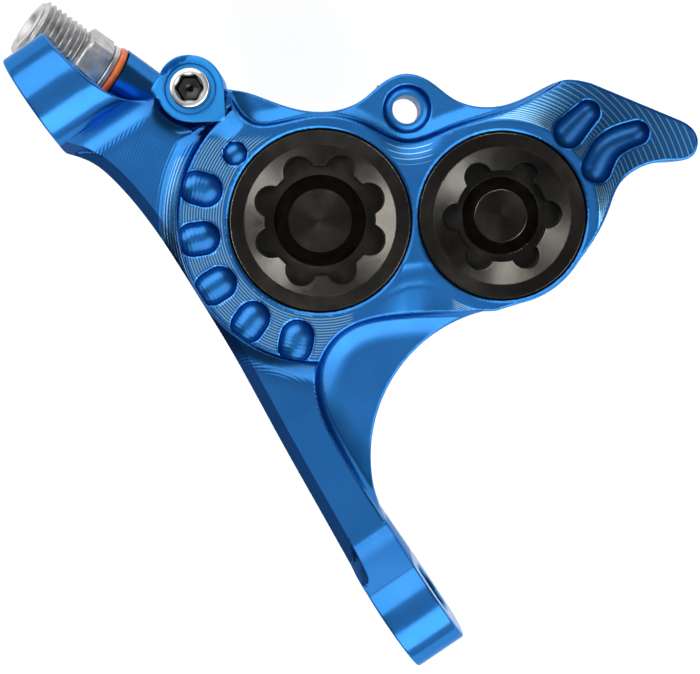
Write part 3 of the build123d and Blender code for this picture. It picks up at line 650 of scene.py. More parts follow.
@dataclass(frozen=True)
class TurnedBlack:
    """Hard black anodising over a face turned on a lathe, which fans the light out from the centre."""

    name: str
    centre: tuple
    colour: tuple = (0.0009, 0.0008, 0.0007)
    roughness: float = 0.16
    paler: float = 1.9

    def make(self) -> bpy.types.Material:
        """Build the material, with its grain running round the cap's own axis."""
        nodes = Nodes(self.name)
        nodes.set(Metallic=0.2, Anisotropic=0.9, Specular_IOR_Level=0.12, IOR=1.5)
        shift = nodes.add("ShaderNodeMapping")
        shift.inputs["Location"].default_value = (-self.centre[0] * MM, -self.centre[1] * MM, 0)
        nodes.link(nodes.place(), shift.inputs["Vector"])
        split = nodes.add("ShaderNodeSeparateXYZ")
        nodes.link(shift.outputs["Vector"], split.inputs["Vector"])
        turn = nodes.add("ShaderNodeCombineXYZ")
        nodes.link(nodes.sum("MULTIPLY", split.outputs["Y"], -1.0), turn.inputs["X"])
        nodes.link(split.outputs["X"], turn.inputs["Y"])
        direction = nodes.add("ShaderNodeVectorMath", operation="NORMALIZE")
        nodes.link(turn.outputs["Vector"], direction.inputs[0])
        nodes.feed(Tangent=direction.outputs["Vector"])
        reach = nodes.sum("SQRT", nodes.sum(
            "ADD", nodes.sum("MULTIPLY", split.outputs["X"], split.outputs["X"]),
            nodes.sum("MULTIPLY", split.outputs["Y"], split.outputs["Y"]),
        ))
        nodes.relief(nodes.ridges(reach, 0.00012), 0.000006, 0.5)
        nodes.relief(nodes.speckle(900, 6), 0.00001, 0.35)
        tone = nodes.ramp(nodes.speckle(700, 8), 0.35, 0.7)
        pale = tuple(part * self.paler for part in self.colour)
        nodes.feed(Base_Color=nodes.blend(tone, self.colour, pale))
        wear = nodes.ramp(nodes.speckle(380, 5), 0.3, 0.7, (self.roughness - 0.03, self.roughness + 0.05))
        nodes.feed(Roughness=wear)
        return nodes.material


@dataclass(frozen=True)
class Metal:
    """Bare or plated metal with a fine grain and a little wear."""

    name: str
    colour: tuple
    roughness: float = 0.3
    grain: float = 1500.0
    depth: float = 0.000004
    stretch: tuple = (1, 1, 1)
    mottle: float = 0.78

    def make(self) -> bpy.types.Material:
        """Build the material with its tone, roughness and relief from the same grain, and painted shade where the piece
        marks its inside.
        """
        nodes = Nodes(self.name)
        nodes.set(Metallic=1.0)
        grain = nodes.speckle(self.grain, 5, self.stretch)
        tone = nodes.ramp(nodes.speckle(self.grain / 5, 6), 0.3, 0.7)
        plain = nodes.blend(tone, tuple(c * self.mottle for c in self.colour), self.colour)
        # Painted shade: the colour falls to 6 % of itself where the piece's inside mark is set, as in the bleed screw's
        # socket.
        inside = nodes.blend(nodes.mark("inside"), plain, tuple(c * 0.06 for c in self.colour))
        nodes.feed(Base_Color=inside)
        nodes.feed(Roughness=nodes.ramp(grain, 0.3, 0.7, (self.roughness - 0.07, self.roughness + 0.09)))
        nodes.relief(grain, self.depth, 0.7)
        return nodes.material


@dataclass(frozen=True)
class Moulded:
    """Rubber, resin or pressed lining: a matt solid with specks in it."""

    name: str
    colour: tuple
    specks: tuple
    roughness: float = 0.55
    scale: float = 1800.0
    threshold: tuple = (0.45, 0.6)
    depth: float = 0.00001

    def make(self) -> bpy.types.Material:
        """Build the material with its specks as colour and as relief."""
        nodes = Nodes(self.name)
        specks = nodes.ramp(nodes.speckle(self.scale, 6), *self.threshold)
        nodes.feed(Base_Color=nodes.blend(specks, self.colour, self.specks))
        wear = nodes.speckle(self.scale / 4, 4)
        nodes.feed(Roughness=nodes.ramp(wear, 0.3, 0.7, (self.roughness - 0.08, self.roughness + 0.08)))
        nodes.relief(specks, self.depth, 0.6)
        return nodes.material


# ---------------------------------------------------------------- the block


@dataclass
class Block:
    """The machined block: its face with every land and cut, its two ears, and the side towards the wheel."""

    large: np.ndarray = field(default_factory=lambda: np.array([-10.05, 0.0]))
    small: np.ndarray = field(default_factory=lambda: np.array([10.05, 0.0]))
    lug: np.ndarray = field(default_factory=lambda: np.array([-24.0, 14.9]))
    pin: np.ndarray = field(default_factory=lambda: np.array([0.0, 12.2]))
    face: float = 6.5
    arm: float = 2.4
    land: float = 2.6
    lug_face: float = 5.0
    floor: float = -1.0
    split: float = -7.9
    seat: float = 1.75
    terrace: float = 15.6
    terrace_foot: float = 2.2
    terrace_sweep: float = 2.8
    terrace_side: tuple = (1.5, 0.5)
    step_side: tuple = (0.85, 0.6)
    hollow_side: tuple = (1.25, 0.9)
    sweep_power: float = 1.7
    root_share: float = 2.2
    lug_radius: float = 3.7
    lug_tips: tuple = (
        ((0, 0), (-0.95, -0.3), (-1.2, 0.0), (-0.78, 0.63)), ((0, 0), (0, -1), (1.02, -0.99), (1, 0)),
    )
    lug_recess: float = 2.75
    lug_recess_depth: float = 0.5
    lug_seat: float = 2.25
    lug_seat_depth: float = 1.2
    valley_drop: float = 0.5
    valley_slope: float = 1.3
    pin_hole: float = 1.6
    pin_seat: float = 2.6
    pin_floor: float = 1.0
    pin_round: float = 0.8
    large_seat: float = 10.05
    small_seat: float = 9.25
    small_rim: float = 9.85
    large_rim: float = 12.1
    step_round: float = 2.2
    hollow_round: float = 3.3
    edge: float = 0.26
    seat_round: float = 0.45
    bevel: float = 1.25
    bevel_fade: float = 3.4
    wall_least: float = 0.5
    ear_radius: float = 6.25
    ear_middle: float = 35.0
    ear_height: float = 1.75
    ear_depth: float = 6.2
    ear_reach: float = 11.6
    slot_radius: float = 2.75
    upper_ramp: tuple = (60.0, 4.0)
    lower_ramp: tuple = (42.0, 4.2)
    fin_from: float = 4.02
    fin_blend: float = 4.0
    fin_start: float = 10.5
    fin_end: float = 24.7
    fin_slope: float = 24.0
    fin_tip_slope: float = 4.0
    web_from: float = -9.0
    web_centre: tuple = (11.1, -1.5)
    arm_ends: tuple = (-27.2, 10.4)
    ridge_width: float = 0.125
    ridge_spacing: tuple = (0.21, 0.66)
    ridge_growth: float = 6.5
    fin_slots: tuple = (
        ((17.62, 8.98), (18.8, 10.15), (19.97, 11.25)), ((20.62, 5.05), (21.95, 7.2), (25.5, 8.85)),
    )
    fin_slot_radius: tuple = (1.72, 1.32)
    fin_slot_depth: tuple = (2.1, 1.7)
    flute_radius: float = 1.8
    flute_depth: float = 1.2
    dimple_depth: float = 0.7
    flute_ring: tuple = (13.05, 14.15)
    flute_angles: tuple = (163.6, 187.0, 210.4, 233.8, 257.2)
    dimple_ring: float = 11.9
    dimple_angle: float = 140.4
    dimple_radius: float = 1.2
    cell: float = 0.3

    scoop_width: float = 2.8
    scoop_depth: float = 0.8
    groove_depth: float = 0.3
    lip_slope: float = 0.2
    corner_turn: tuple = (132.0, 9.0)
    corner_reach: float = 13.2
    corner_slope: float = 0.34
    ridge_line: tuple = (
        (-8.0, -12.2), (-5.9, -10.6), (-3.4, -8.8), (-0.8, -7.65), (1.2, -7.5), (3.2, -8.0), (5.2, -8.9), (7.5, -9.8),
        (9.5, -10.6),
    )

    fork_edge: tuple = (
        (-28.75, 0), (-26.39, 1.72), (-23.17, 2.71), (-17.71, 3.3), (-10.99, 3.3), (0, 2.71), (11.27, 1.58),
        (19.53, 0.83), (28.75, 0),
    )
    ear_top: tuple = (
        (-41.25, 5.58), (-40.32, 5.58), (-38.78, 5.77), (-35.63, 6.39), (-33.81, 6.88), (-32.13, 7.44),
        (-29.89, 8.8), (-28.49, 10.85),
    )
    arc_centre: tuple = (28.5, 23.0)
    arc_radius: float = 17.2
    rim_join: tuple = (12.3, -9.57)
    lug_overlap: tuple = (-22.0, 9.8)
    top_edge: tuple = (
        (-21.0, 14.9), (-18.0, 14.5), (-15.31, 13.5), (-10.05, 12.1), (-5.11, 13.25), (-2.61, 15.2), (0, 16.1),
        (2.61, 15.2), (5.11, 13.25), (10.05, 12.2), (14.6, 13.8), (17.59, 14.9), (20.4, 14.5),
    )
    fin_tip: tuple = ((30.1, 10.3), (31.4, 9.6), (32.3, 8.45), (32.38, 7.2), (31.7, 6.05), (30.41, 5.6))
    fin_belly: tuple = (
        (30.41, 5.6), (27.71, 5.5), (25.59, 4.9), (23.21, 3.1), (21.89, 0.3), (19.85, -3.3), (18.0, -5.75),
    )
    step_line: tuple = (
        (-20.0, 14.59), (-18.89, 12.3), (-17.21, 10.79), (-14.59, 10.71), (-10.09, 11.5), (-5.43, 10.59),
        (-0.4, 8.34), (4.7, 9.71), (10.29, 11.4), (17.0, 14.67),
    )
    hollow_line: tuple = (
        (22.11, -10.05), (6.59, -10.49), (-1.31, -10.59), (-8.1, -12.4), (-10.89, -16.8), (-10.59, -21.31),
        (-8.5, -25.91), (-3.8, -33.91),
    )

    def outline_parts(self) -> tuple[np.ndarray, np.ndarray]:
        """Closed outlines of the arm, in X and Y, and of the head, in the bores' frame."""
        arc_x, arc_y = self.arc_centre
        drop = arc_y - self.ear_depth
        start = 180 + np.degrees(np.arcsin(drop / self.arc_radius))
        corners = bore_to_row(np.array([self.rim_join, self.small, self.large, self.lug]))
        arm = np.vstack([
            [(-self.ear_middle - self.ear_radius, 0)], smooth_curve(self.fork_edge)[:-1],
            [(self.ear_middle + self.ear_radius, 0), (self.ear_middle + self.ear_radius, self.ear_depth)],
            arc((arc_x, arc_y), self.arc_radius, start, 163.0, 90), corners, smooth_curve(self.ear_top)[::-1],
        ])
        head = np.vstack([
            smooth_curve(self.top_edge), smooth_curve(self.fin_tip, 0.15), smooth_curve(self.fin_belly)[1:], self.small,
            self.large, self.lug_overlap, self.lug,
        ])
        return arm, head

    def ear_line(self, side: int) -> tuple[float, float]:
        """Where the block's net meets an ear: X without its sign, and the ear's height there."""
        angle = radians(self.upper_ramp[0] if side < 0 else self.lower_ramp[0])
        return self.ear_middle - self.ear_radius * sin(angle), self.ear_height + self.ear_radius * cos(angle)

    def ramp_height(self, along: np.ndarray, side: int) -> np.ndarray:
        """Height of the ramp between an ear and the arm: a straight slope, then a round on to the arm's face."""
        angle, radius = self.upper_ramp if side < 0 else self.lower_ramp
        slope = tan(radians(angle))
        top, height = self.ear_line(side)
        foot = top - (height - self.arm) / slope
        centre = foot - radius * tan(radians(angle / 2))
        inward = np.clip(along - centre, 0, None)
        joint = radius * sin(radians(angle))
        low = radius - np.sqrt(np.maximum(radius**2 - np.minimum(inward, joint) ** 2, 0))
        return self.arm + low + np.clip(inward - joint, 0, None) * slope

    def side_rise(self, gap: np.ndarray, width: float, height: float, root: float) -> np.ndarray:
        """Rise of a cut's side over its floor: a wide shallow sweep, and a small fillet at the wall.

        Args:
            gap: distance from the cut's border, inside it.
            width: how far the sweep reaches.
            height: how high the sweep is at the wall, from which it falls by a power of the nearness.
            root: the fillet's radius.

        Returns:
            The rise at each place.
        """
        gap = np.clip(gap, 0, None)
        sweep = height * np.clip(1 - gap / width, 0, 1) ** self.sweep_power
        return sweep + fillet_rise(gap, root) * self.root_share

    def fin_top(self, reach: np.ndarray) -> np.ndarray:
        """Height of the fin at a distance from the small bore: steep at the rim and flat towards the tip."""
        out = np.clip(reach - self.fin_start, 0, None)
        steep, tip = tan(radians(self.fin_slope)), tan(radians(self.fin_tip_slope))
        return self.face - steep * out + (steep - tip) / (2 * (self.fin_end - self.fin_start)) * out**2

    def net(self) -> FlatNet:
        """The flat net with every border as a field, cut along each of them and along their rounded edges."""
        cell = self.cell * 1
        net = FlatNet.over(np.array([-32.0, -0.2]), np.array([32.4, 60.4]), cell)
        arm, head = self.outline_parts()
        places = net.points
        local = row_to_bore(places)
        tips = [
            self.lug + self.lug_radius * np.array(shares)
            for shares in self.lug_tips
        ]

        def round_field(centre: np.ndarray, radius: float) -> np.ndarray:
            return np.linalg.norm(local - centre, axis=1) - radius

        def tips_field() -> np.ndarray:
            return np.minimum(*(ring_field(local, tip) for tip in tips))

        block = np.minimum.reduce([
            ring_field(places, arm), ring_field(local, head), round_field(self.small, self.small_rim),
            round_field(self.large, self.large_rim), round_field(self.lug, self.lug_radius), tips_field(),
        ])
        net.fields[Border.BLOCK] = block
        net.drop(block[net.faces].min(1) > 0.01)
        places, local = net.points, row_to_bore(net.points)
        fields = net.fields
        step = smooth_curve(self.step_line)
        step_ring = np.vstack([step, [(17.0, 24.0), (-23.7, 24.0), (-23.7, 17.1)]])
        hollow = smooth_curve(self.hollow_line)
        hollow_ring = np.vstack([hollow, [(22.11, -33.91)]])
        brow = (self.step_line[0][0] + self.step_line[1][0]) / 2
        raised_ring = np.array([
            (brow, 12.3), (brow, 24), (33, 24), (33, -9.2), self.hollow_line[3], self.large, self.step_line[1],
        ])
        fields[Border.TERRACE] = round_field(self.large, self.terrace)
        fields[Border.BROW] = np.minimum(ring_field(local, raised_ring), round_field(self.small, self.small_rim))
        fields[Border.RAISED] = np.minimum(fields[Border.BROW], fields[Border.TERRACE])
        fields[Border.STEP] = ring_field(local, step_ring)
        fields[Border.HOLLOW] = ring_field(local, hollow_ring)
        fields[Border.LUG] = round_field(self.lug, self.lug_radius)
        fields[Border.LUG_TIPS] = tips_field()
        fields[Border.LUG_RECESS] = round_field(self.lug, self.lug_recess)
        fields[Border.LUG_SEAT] = round_field(self.lug, self.lug_seat)
        fields[Border.PIN_SEAT] = round_field(self.pin, self.pin_seat)
        fields[Border.PIN_HOLE] = round_field(self.pin, self.pin_hole)
        fields[Border.LARGE_SEAT] = round_field(self.large, self.large_seat)
        fields[Border.SMALL_SEAT] = round_field(self.small, self.small_seat)
        fields[Border.FORK_EDGE] = line_distance(places, smooth_curve(self.fork_edge)) - self.bevel
        fields[Border.UPPER_EAR] = np.minimum(-places[:, 0] - self.ear_line(-1)[0], self.ear_reach - places[:, 1])
        fields[Border.LOWER_EAR] = places[:, 0] - self.ear_line(1)[0]
        flutes = []
        for angle in np.radians(self.flute_angles):
            way = np.array([cos(angle), sin(angle)])
            flutes.append(capsule_distance(local, *(self.large + way * ring for ring in self.flute_ring))[0])
        fields[Border.FLUTES] = np.minimum.reduce(flutes) - self.flute_radius
        way = radians(self.dimple_angle)
        dimple = self.large + self.dimple_ring * np.array([cos(way), sin(way)])
        fields[Border.DIMPLE] = round_field(dimple, self.dimple_radius)
        fields[Border.SLOTS] = self.slot_depths(local)[1]
        for border in (Border.UPPER_EAR, Border.LOWER_EAR, Border.BLOCK):
            net.cut(border)
            net.drop(~net.inside(border))
        rounds = (0.0, -0.3 * self.edge, -self.edge)
        for level in rounds[1:]:
            net.cut(Border.BLOCK, level)
        for border, levels in (
            (Border.TERRACE, (*rounds, 0.25, 0.5, self.terrace_sweep)),
            (Border.RAISED, (0.0,)),
            (Border.STEP, (0.0, 0.3 * self.edge, self.edge, -0.2, -0.6, -self.step_round)),
            (Border.HOLLOW, (0.0, 0.3 * self.edge, self.edge, -0.3, -0.9, -self.hollow_round)),
            (Border.LUG, (*rounds, 0.4, self.terrace_foot)),
            (Border.LUG_TIPS, (0.0,)),
            (Border.LUG_RECESS, (0.0, 0.12)),
            (Border.LUG_SEAT, (0.0,)),
            (Border.PIN_SEAT, (0.0, 0.08, self.edge, -0.08, -0.25, -0.5, -0.8)),
            (Border.PIN_HOLE, (0.0, 0.15)),
            (Border.LARGE_SEAT, (0.0, 0.1, self.seat_round)),
            (Border.SMALL_SEAT, (0.0, 0.1, self.seat_round)),
            (Border.FLUTES, (0.0, 0.1, -0.12, -0.45)),
            (Border.DIMPLE, (0.0, -0.15)),
            (Border.SLOTS, (0.0, 0.1, self.edge, -0.15)),
            (Border.FORK_EDGE, (0.0,)),
        ):
            for level in levels:
                net.cut(border, level)
        for border in (Border.LARGE_SEAT, Border.SMALL_SEAT, Border.PIN_HOLE, Border.LUG_SEAT):
            net.drop(net.inside(border))
        return net

    def slot_depths(self, local: np.ndarray) -> tuple[np.ndarray, np.ndarray]:
        """Height of the fin's two slots, and the distance outside them.

        Each is a round cutter's path along a smooth curve. Its radius and its depth under the fin's top change
        evenly along the way, and its floor is the cutter's quarter circle on each side.

        Args:
            local: places in the bores' frame.

        Returns:
            The slots' height at each place, and the distance to the nearest slot's border.
        """
        lowest, outside = np.full(len(local), 50.0), np.full(len(local), 50.0)
        for knots in self.fin_slots:
            path = smooth_curve(np.array(knots), 0.08)
            gaps = np.linalg.norm(local[:, None] - path[None], axis=2)
            nearest = gaps.argmin(1)
            gap = gaps[np.arange(len(local)), nearest]
            share = nearest / (len(path) - 1)
            radius = self.fin_slot_radius[0] + np.diff(self.fin_slot_radius)[0] * share
            depth = self.fin_slot_depth[0] + np.diff(self.fin_slot_depth)[0] * share
            ends = self.fin_top(np.linalg.norm(path[[0, -1]] - self.small, axis=1))
            floor = ends[0] + (ends[1] - ends[0]) * share - depth
            bowl = floor + radius - np.sqrt(np.maximum(radius**2 - gap**2, 0))
            lowest = np.where(gap - radius < outside, bowl, lowest)
            outside = np.minimum(outside, gap - radius)
        return lowest, outside

    def scoops(self, along: np.ndarray, out: np.ndarray, from_step: np.ndarray) -> np.ndarray:
        """How far the top land is cut away between the two caps.

        On the pin's side it falls with the square of the nearness to the step. On the other side a shallow round
        groove runs above an arched ridge, and past the ridge the land falls evenly towards the hollow. Both fade
        out to the sides with a squared cosine. By the lug the land's corner falls evenly from a ring on.

        Args:
            along: place along the bores' line.
            out: place out of the bores' line.
            from_step: distance from the step's edge.

        Returns:
            The depth at each place.
        """
        side = np.cos(np.clip(along / 5.2, -1, 1) * pi / 2) ** 2
        near = np.clip(1 - from_step / self.scoop_width, 0, 1)
        depth = np.where(out > 0, self.scoop_depth * near**2 * side, 0)
        ridge_along, ridge_out = np.array(self.ridge_line).T
        past = np.interp(along, ridge_along, ridge_out) - out
        arch = np.cos(np.clip((along - 0.2) / 6.0, -1, 1) * pi / 2) ** 2
        groove = np.clip(1 - ((past + 1.35) / 1.35) ** 2, 0, 1) * self.groove_depth
        fall = np.clip(past, 0, None) * self.lip_slope
        turn = np.degrees(np.arctan2(out - self.large[1], along - self.large[0]))
        corner = np.clip(1 - np.abs(turn - self.corner_turn[0]) / self.corner_turn[1], 0, 1)
        reach = np.hypot(along - self.large[0], out - self.large[1])
        depth = depth + corner * np.clip(reach - self.corner_reach, 0, None) * self.corner_slope
        return depth + np.where(out < 0, (groove + np.minimum(fall, 0.9)) * arch, 0)

    def near_face(self) -> Shell:
        """The face away from the wheel with its walls: the flat net lifted to the height of each land and cut."""
        net = self.net()
        corner = net.faces.reshape(-1)
        shape = net.faces.shape
        places = net.points[corner]
        local = row_to_bore(places)

        def at(border: Border) -> np.ndarray:
            return net.fields[border][corner].reshape(shape)

        def within(border: Border) -> np.ndarray:
            return np.broadcast_to(net.inside(border)[:, None], shape)

        x = places[:, 0].reshape(shape)
        from_small = np.linalg.norm(local - self.small, axis=1).reshape(shape)
        from_large = np.linalg.norm(local - self.large, axis=1).reshape(shape)
        along, out = local[:, 0].reshape(shape), local[:, 1].reshape(shape)
        ramp = np.where(x < 0, self.ramp_height(-x, -1), self.ramp_height(x, 1))
        runs_out = np.clip(1 - (ramp - self.arm) / self.bevel_fade, 0, 1)
        base = ramp - np.clip(-at(Border.FORK_EDGE), 0, self.bevel) * runs_out
        on_terrace = within(Border.TERRACE)
        foot = self.arm + self.side_rise(at(Border.TERRACE), self.terrace_sweep, *self.terrace_side)
        rise = np.where(on_terrace, self.face, foot)
        high = within(Border.RAISED) | on_terrace
        rise = np.where(high, self.face, rise)
        falls = high & (along > self.fin_from)
        grown = np.clip((along - self.fin_from) / self.fin_blend, 0, 1)
        rise = rise - np.where(high, (self.face - self.fin_top(from_small)) * grown**2 * (3 - 2 * grown), 0)
        in_step = within(Border.STEP)
        step = self.land + self.side_rise(-at(Border.STEP), self.step_round, *self.step_side)
        rise = np.where(in_step, np.minimum(rise, step), rise)
        rise = rise - np.where(high & ~in_step, self.scoops(along, out, at(Border.STEP)), 0)
        height = np.maximum(base, rise)
        on_lug = within(Border.LUG) | within(Border.LUG_TIPS)
        lug_foot = self.arm + fillet_rise(np.clip(at(Border.LUG), 0, None), self.terrace_foot)
        height = np.where(on_lug, np.maximum(height, self.lug_face), np.maximum(height, lug_foot))
        gap = np.clip(np.minimum(at(Border.LUG), at(Border.LUG_TIPS)), 0, None) + np.clip(at(Border.RAISED), 0, None)
        filled = ~on_lug & ~high & (out > 9)
        valley_floor = self.lug_face - self.valley_drop - self.valley_slope * gap
        height = np.where(filled, np.maximum(height, valley_floor), height)
        in_hollow = within(Border.HOLLOW)
        bowl = self.floor + self.side_rise(-at(Border.HOLLOW), self.hollow_round, *self.hollow_side)
        height = np.where(in_hollow, np.minimum(height, bowl), height)
        in_flute = within(Border.FLUTES) & high & ~in_step
        bowl = self.face - bowl_depth(at(Border.FLUTES) + self.flute_radius, self.flute_radius, self.flute_depth)
        height = np.where(in_flute, np.minimum(height, bowl), height)
        in_dimple = within(Border.DIMPLE) & high
        bowl = self.face - bowl_depth(at(Border.DIMPLE) + self.dimple_radius, self.dimple_radius, self.dimple_depth)
        height = np.where(in_dimple, np.minimum(height, bowl), height)
        in_slot = within(Border.SLOTS) & falls
        height = np.where(in_slot, np.minimum(height, self.slot_depths(local)[0].reshape(shape)), height)
        seat = self.pin_floor + fillet_rise(-at(Border.PIN_SEAT), self.pin_round)
        height = np.where(within(Border.PIN_SEAT), np.minimum(height, seat), height)
        height = np.where(within(Border.LUG_RECESS), self.lug_face - self.lug_recess_depth, height)
        top_land = high & ~in_step & ~in_hollow & ~in_flute & ~in_dimple & ~in_slot & ~on_lug
        plain = ~high & ~in_hollow & ~on_lug
        gaps = [np.where(at(Border.FORK_EDGE) < 0.3, FAR, -at(Border.BLOCK))]
        for border, holds in (
            (Border.TERRACE, top_land & ~within(Border.BROW)), (Border.STEP, top_land), (Border.HOLLOW, ~in_hollow),
            (Border.FLUTES, top_land), (Border.DIMPLE, top_land), (Border.SLOTS, top_land),
            (Border.PIN_SEAT, in_step & ~within(Border.PIN_SEAT)),
            (Border.LUG_RECESS, on_lug & ~within(Border.LUG_RECESS)), (Border.LUG, on_lug & ~within(Border.LUG_TIPS)),
        ):
            gaps.append(np.where(holds, np.abs(at(border)), FAR))
        height = height - fillet_rise(np.minimum.reduce(gaps), self.edge) * ~within(Border.PIN_SEAT)
        seat_gap = np.minimum(np.abs(at(Border.LARGE_SEAT)), np.abs(at(Border.SMALL_SEAT)))
        height = height - fillet_rise(seat_gap, self.seat_round) * (top_land | in_step)
        height = np.maximum(height, self.split + self.wall_least)
        floors = np.full(len(net.points), self.split)
        for border in (Border.LARGE_SEAT, Border.SMALL_SEAT):
            floors[np.abs(net.fields[border]) < 1e-3] = self.seat
        floors[np.abs(net.fields[Border.LUG_SEAT]) < 1e-3] = self.lug_face - self.lug_seat_depth
        inner = -at(Border.BLOCK) - self.edge
        clear = np.clip((np.minimum(np.minimum.reduce(gaps), seat_gap - 0.2) - self.edge) / 0.1, 0, 1)
        marks = self.tool_marks(
            x, along, out, from_large, from_small, at(Border.STEP), np.clip(inner / 0.1, 0, 1), clear, top_land, plain,
        )
        marks["tool_depth"] = marks["tool_depth"] * np.clip((at(Border.LUG) - 2.0) / 1.2, 0, 1)
        marks["tool_depth"] *= np.where(x > self.web_from, np.clip((at(Border.TERRACE) - 1.2) / 1.2, 0, 1), 1.0)
        marks["tool_depth"] += in_flute * np.clip((from_large - 12.9) / 1.5, 0, 1) * 1.2
        marks["tool_way"] = np.where(in_flute, from_large * 0.8, marks["tool_way"])
        valley = np.clip(1 - np.abs(at(Border.LUG)) / 3.0, 0, 1) * plain * (at(Border.LUG) > 0)
        on_web = plain * (at(Border.TERRACE) > 0) * (x > self.web_from)
        sweep = np.clip(1.4 - np.abs(at(Border.TERRACE)) / 3.0, 0, 1) * on_web
        marks["shadow"] = np.maximum(valley * (out < 14.0), sweep * 0.9)
        bevel = plain & within(Border.FORK_EDGE) & (ramp < self.arm + 3)
        middle = top_land & (np.abs(along) < 6.5)
        ramps = plain & (ramp > self.arm + 0.15)
        in_seat = within(Border.PIN_SEAT)
        # Painted shade and light for each kind of face: a lower tone paints it darker, as in the slots, the flutes, the
        # bevel and the land between the caps, and a higher one paints it lighter, as on the lug, the pin's seat and the
        # step; the second number is the added roughness.
        kinds, painted_light_levels, satins = zip(
            (on_lug, 0.75, 0.8), (in_slot, -0.6, 0.7), (in_flute | in_dimple, -0.2, 0.45), (bevel, -1.0, 0.0),
            (in_hollow, 0.0, 0.4), (in_seat, 0.2, 0.5), (in_step, 0.08, 0.2), (middle, -0.12, 0.4), (ramps, 0.0, 0.5),
        )
        tone, satin_and_painted_highlight = (np.select(list(kinds), list(values), 0.0) for values in (painted_light_levels, satins))
        return net.raised(height, floors, marks, {"tone": tone[:, 0], "satin_and_painted_highlight": satin_and_painted_highlight[:, 0]})

    def tool_marks(
        self, x: np.ndarray, along: np.ndarray, out: np.ndarray, from_large: np.ndarray, from_small: np.ndarray,
        from_step: np.ndarray, inner: np.ndarray, clear: np.ndarray, top_land: np.ndarray, plain: np.ndarray,
    ) -> dict[str, np.ndarray]:
        """What the cutter left at each corner of the net.

        The upper arm was cut in rings about the large bore and the lower web in rings about a place by the fork's
        side. The land by the large bore has even rings. On the fin the ridges' spacing grows smoothly with the
        distance from the small bore, so their count is the running sum of the steps over the spacing there.

        Args:
            x: X of the caliper.
            along: place along the bores' line.
            out: place out of the bores' line.
            from_large: distance from the large bore's centre.
            from_small: distance from the small bore's centre.
            from_step: distance from the step's edge.
            inner: 1 on the face and 0 on its rounded outline.
            clear: 1 on the land and 0 on every rounded edge.
            top_land: where the surface is the block's top land.
            plain: where it is the arm's face.

        Returns:
            The marks by name: way and depth of the cusps, and phase and share of the ridges.
        """
        web_centre = row_to_bore(np.array([self.web_centre]))[0]
        from_web = np.hypot(along - web_centre[0], out - web_centre[1])
        arm = plain & (x > self.arm_ends[0]) & (x < self.arm_ends[1])
        reach = np.linspace(self.fin_start, 34, 400)
        grown = np.clip((reach - self.fin_start) / self.ridge_growth, 0, 1)
        spacing = self.ridge_spacing[0] + np.diff(self.ridge_spacing)[0] * grown**2 * (3 - 2 * grown)
        count = np.concatenate([[0], np.cumsum(np.diff(reach) / spacing[1:])])
        fin_phase = np.interp(from_small, reach, count)
        fin_share = np.clip(self.ridge_width / np.interp(from_small, reach, spacing), 0, 0.6)
        between = (along > -3.0) & (out > 0)
        phase = np.where(along > 3.0, fin_phase, np.where(between, from_step / 0.6, from_large / 0.3))
        fin = np.clip((along - 4.2) / 0.5, 0, 1) * np.clip((from_small - self.fin_start) / 0.2, 0, 1) * fin_share
        scoop = np.clip((2.6 - np.abs(along)) / 0.4, 0, 1) * (out > 0) * np.clip((2.6 - from_step) / 0.4, 0, 1) * 0.16
        rings = np.clip((-6.6 - along) / 0.5, 0, 1) * np.clip((9.5 - out) / 0.5, 0, 1) * 0.4
        by_terrace = plain & (along < -8.0) & (x < self.web_from) & (out < 7.5)
        foot = by_terrace * np.clip((self.terrace + 2.0 - from_large) / 0.4, 0, 1) * 0.22
        share = np.where(top_land, np.maximum.reduce([fin, scoop, rings]) * clear, foot * inner)
        return {
            "tool_way": np.where(x > self.web_from, from_web, from_large), "tool_depth": arm * inner,
            "line_phase": phase, "line_share": share,
        }

    def ear(self, side: int) -> Shell:
        """One ear: a stadium about its bolt slot, carried from the fork's face to the ear's top, edges rounded.

        The outer and inner rings are stadiums of the same angles, so the two ends are ruled between them. The ring
        is drawn in by the edge's radius less a quarter circle near each end. Below and towards the arm it is square,
        as the arm's own slab runs on under the ear.

        Args:
            side: -1 for the upper ear, 1 for the lower one.

        Returns:
            The ear's surface.
        """
        turns = 144
        angle = np.linspace(0, 2 * pi, turns, endpoint=False)
        lift = np.where(np.sin(angle) >= 0, 1.0, -1.0) * self.ear_height

        inner = (side * np.cos(angle) < 0) & (np.sin(angle) < 0)
        square = np.where(inner, 1 / np.maximum(np.abs(np.cos(angle)), np.abs(np.sin(angle))), 1.0)

        def ring(radius: float) -> np.ndarray:
            reach = radius * (square if radius > self.slot_radius + 0.5 else 1.0)
            across = np.maximum(self.ear_middle + side * reach * np.cos(angle), self.ear_line(side)[0] - 0.02)
            return np.stack([side * across, reach * np.sin(angle) + lift], axis=1)

        def row(radius: float, share: float, inset: float = 0.0) -> np.ndarray:
            flat = ring(radius)
            end = np.interp(flat[:, 0], *curve.T) if side < 0 else np.full(turns, self.ear_depth)
            return np.column_stack([flat[:, 0], end * share + inset, flat[:, 1]])

        curve = smooth_curve(self.ear_top)
        rounds = self.edge * (1 - np.cos(np.linspace(0, pi / 2, 5)))
        insets = self.edge - np.sqrt(np.maximum(self.edge**2 - (self.edge - rounds) ** 2, 0))
        stack = [row(self.ear_radius - inset, 0.0, level) for inset, level in zip(insets, rounds)]
        stack.extend(row(self.ear_radius, share) for share in (0.25, 0.5, 0.75))
        stack.extend(row(self.ear_radius - inset, 1.0, -level) for inset, level in zip(insets[::-1], rounds[::-1]))
        between = np.linspace(self.ear_radius - self.edge, self.slot_radius + 0.2, 6)[1:]
        stack.extend(row(radius, 1.0) for radius in between)
        stack.extend([row(self.slot_radius, 1.0, -0.2), row(self.slot_radius, 0.0, 0.2)])
        stack.extend([row(self.slot_radius + 0.2, 0.0), stack[0]])
        return Shell(np.vstack(stack), [grid_faces(len(stack), turns)])

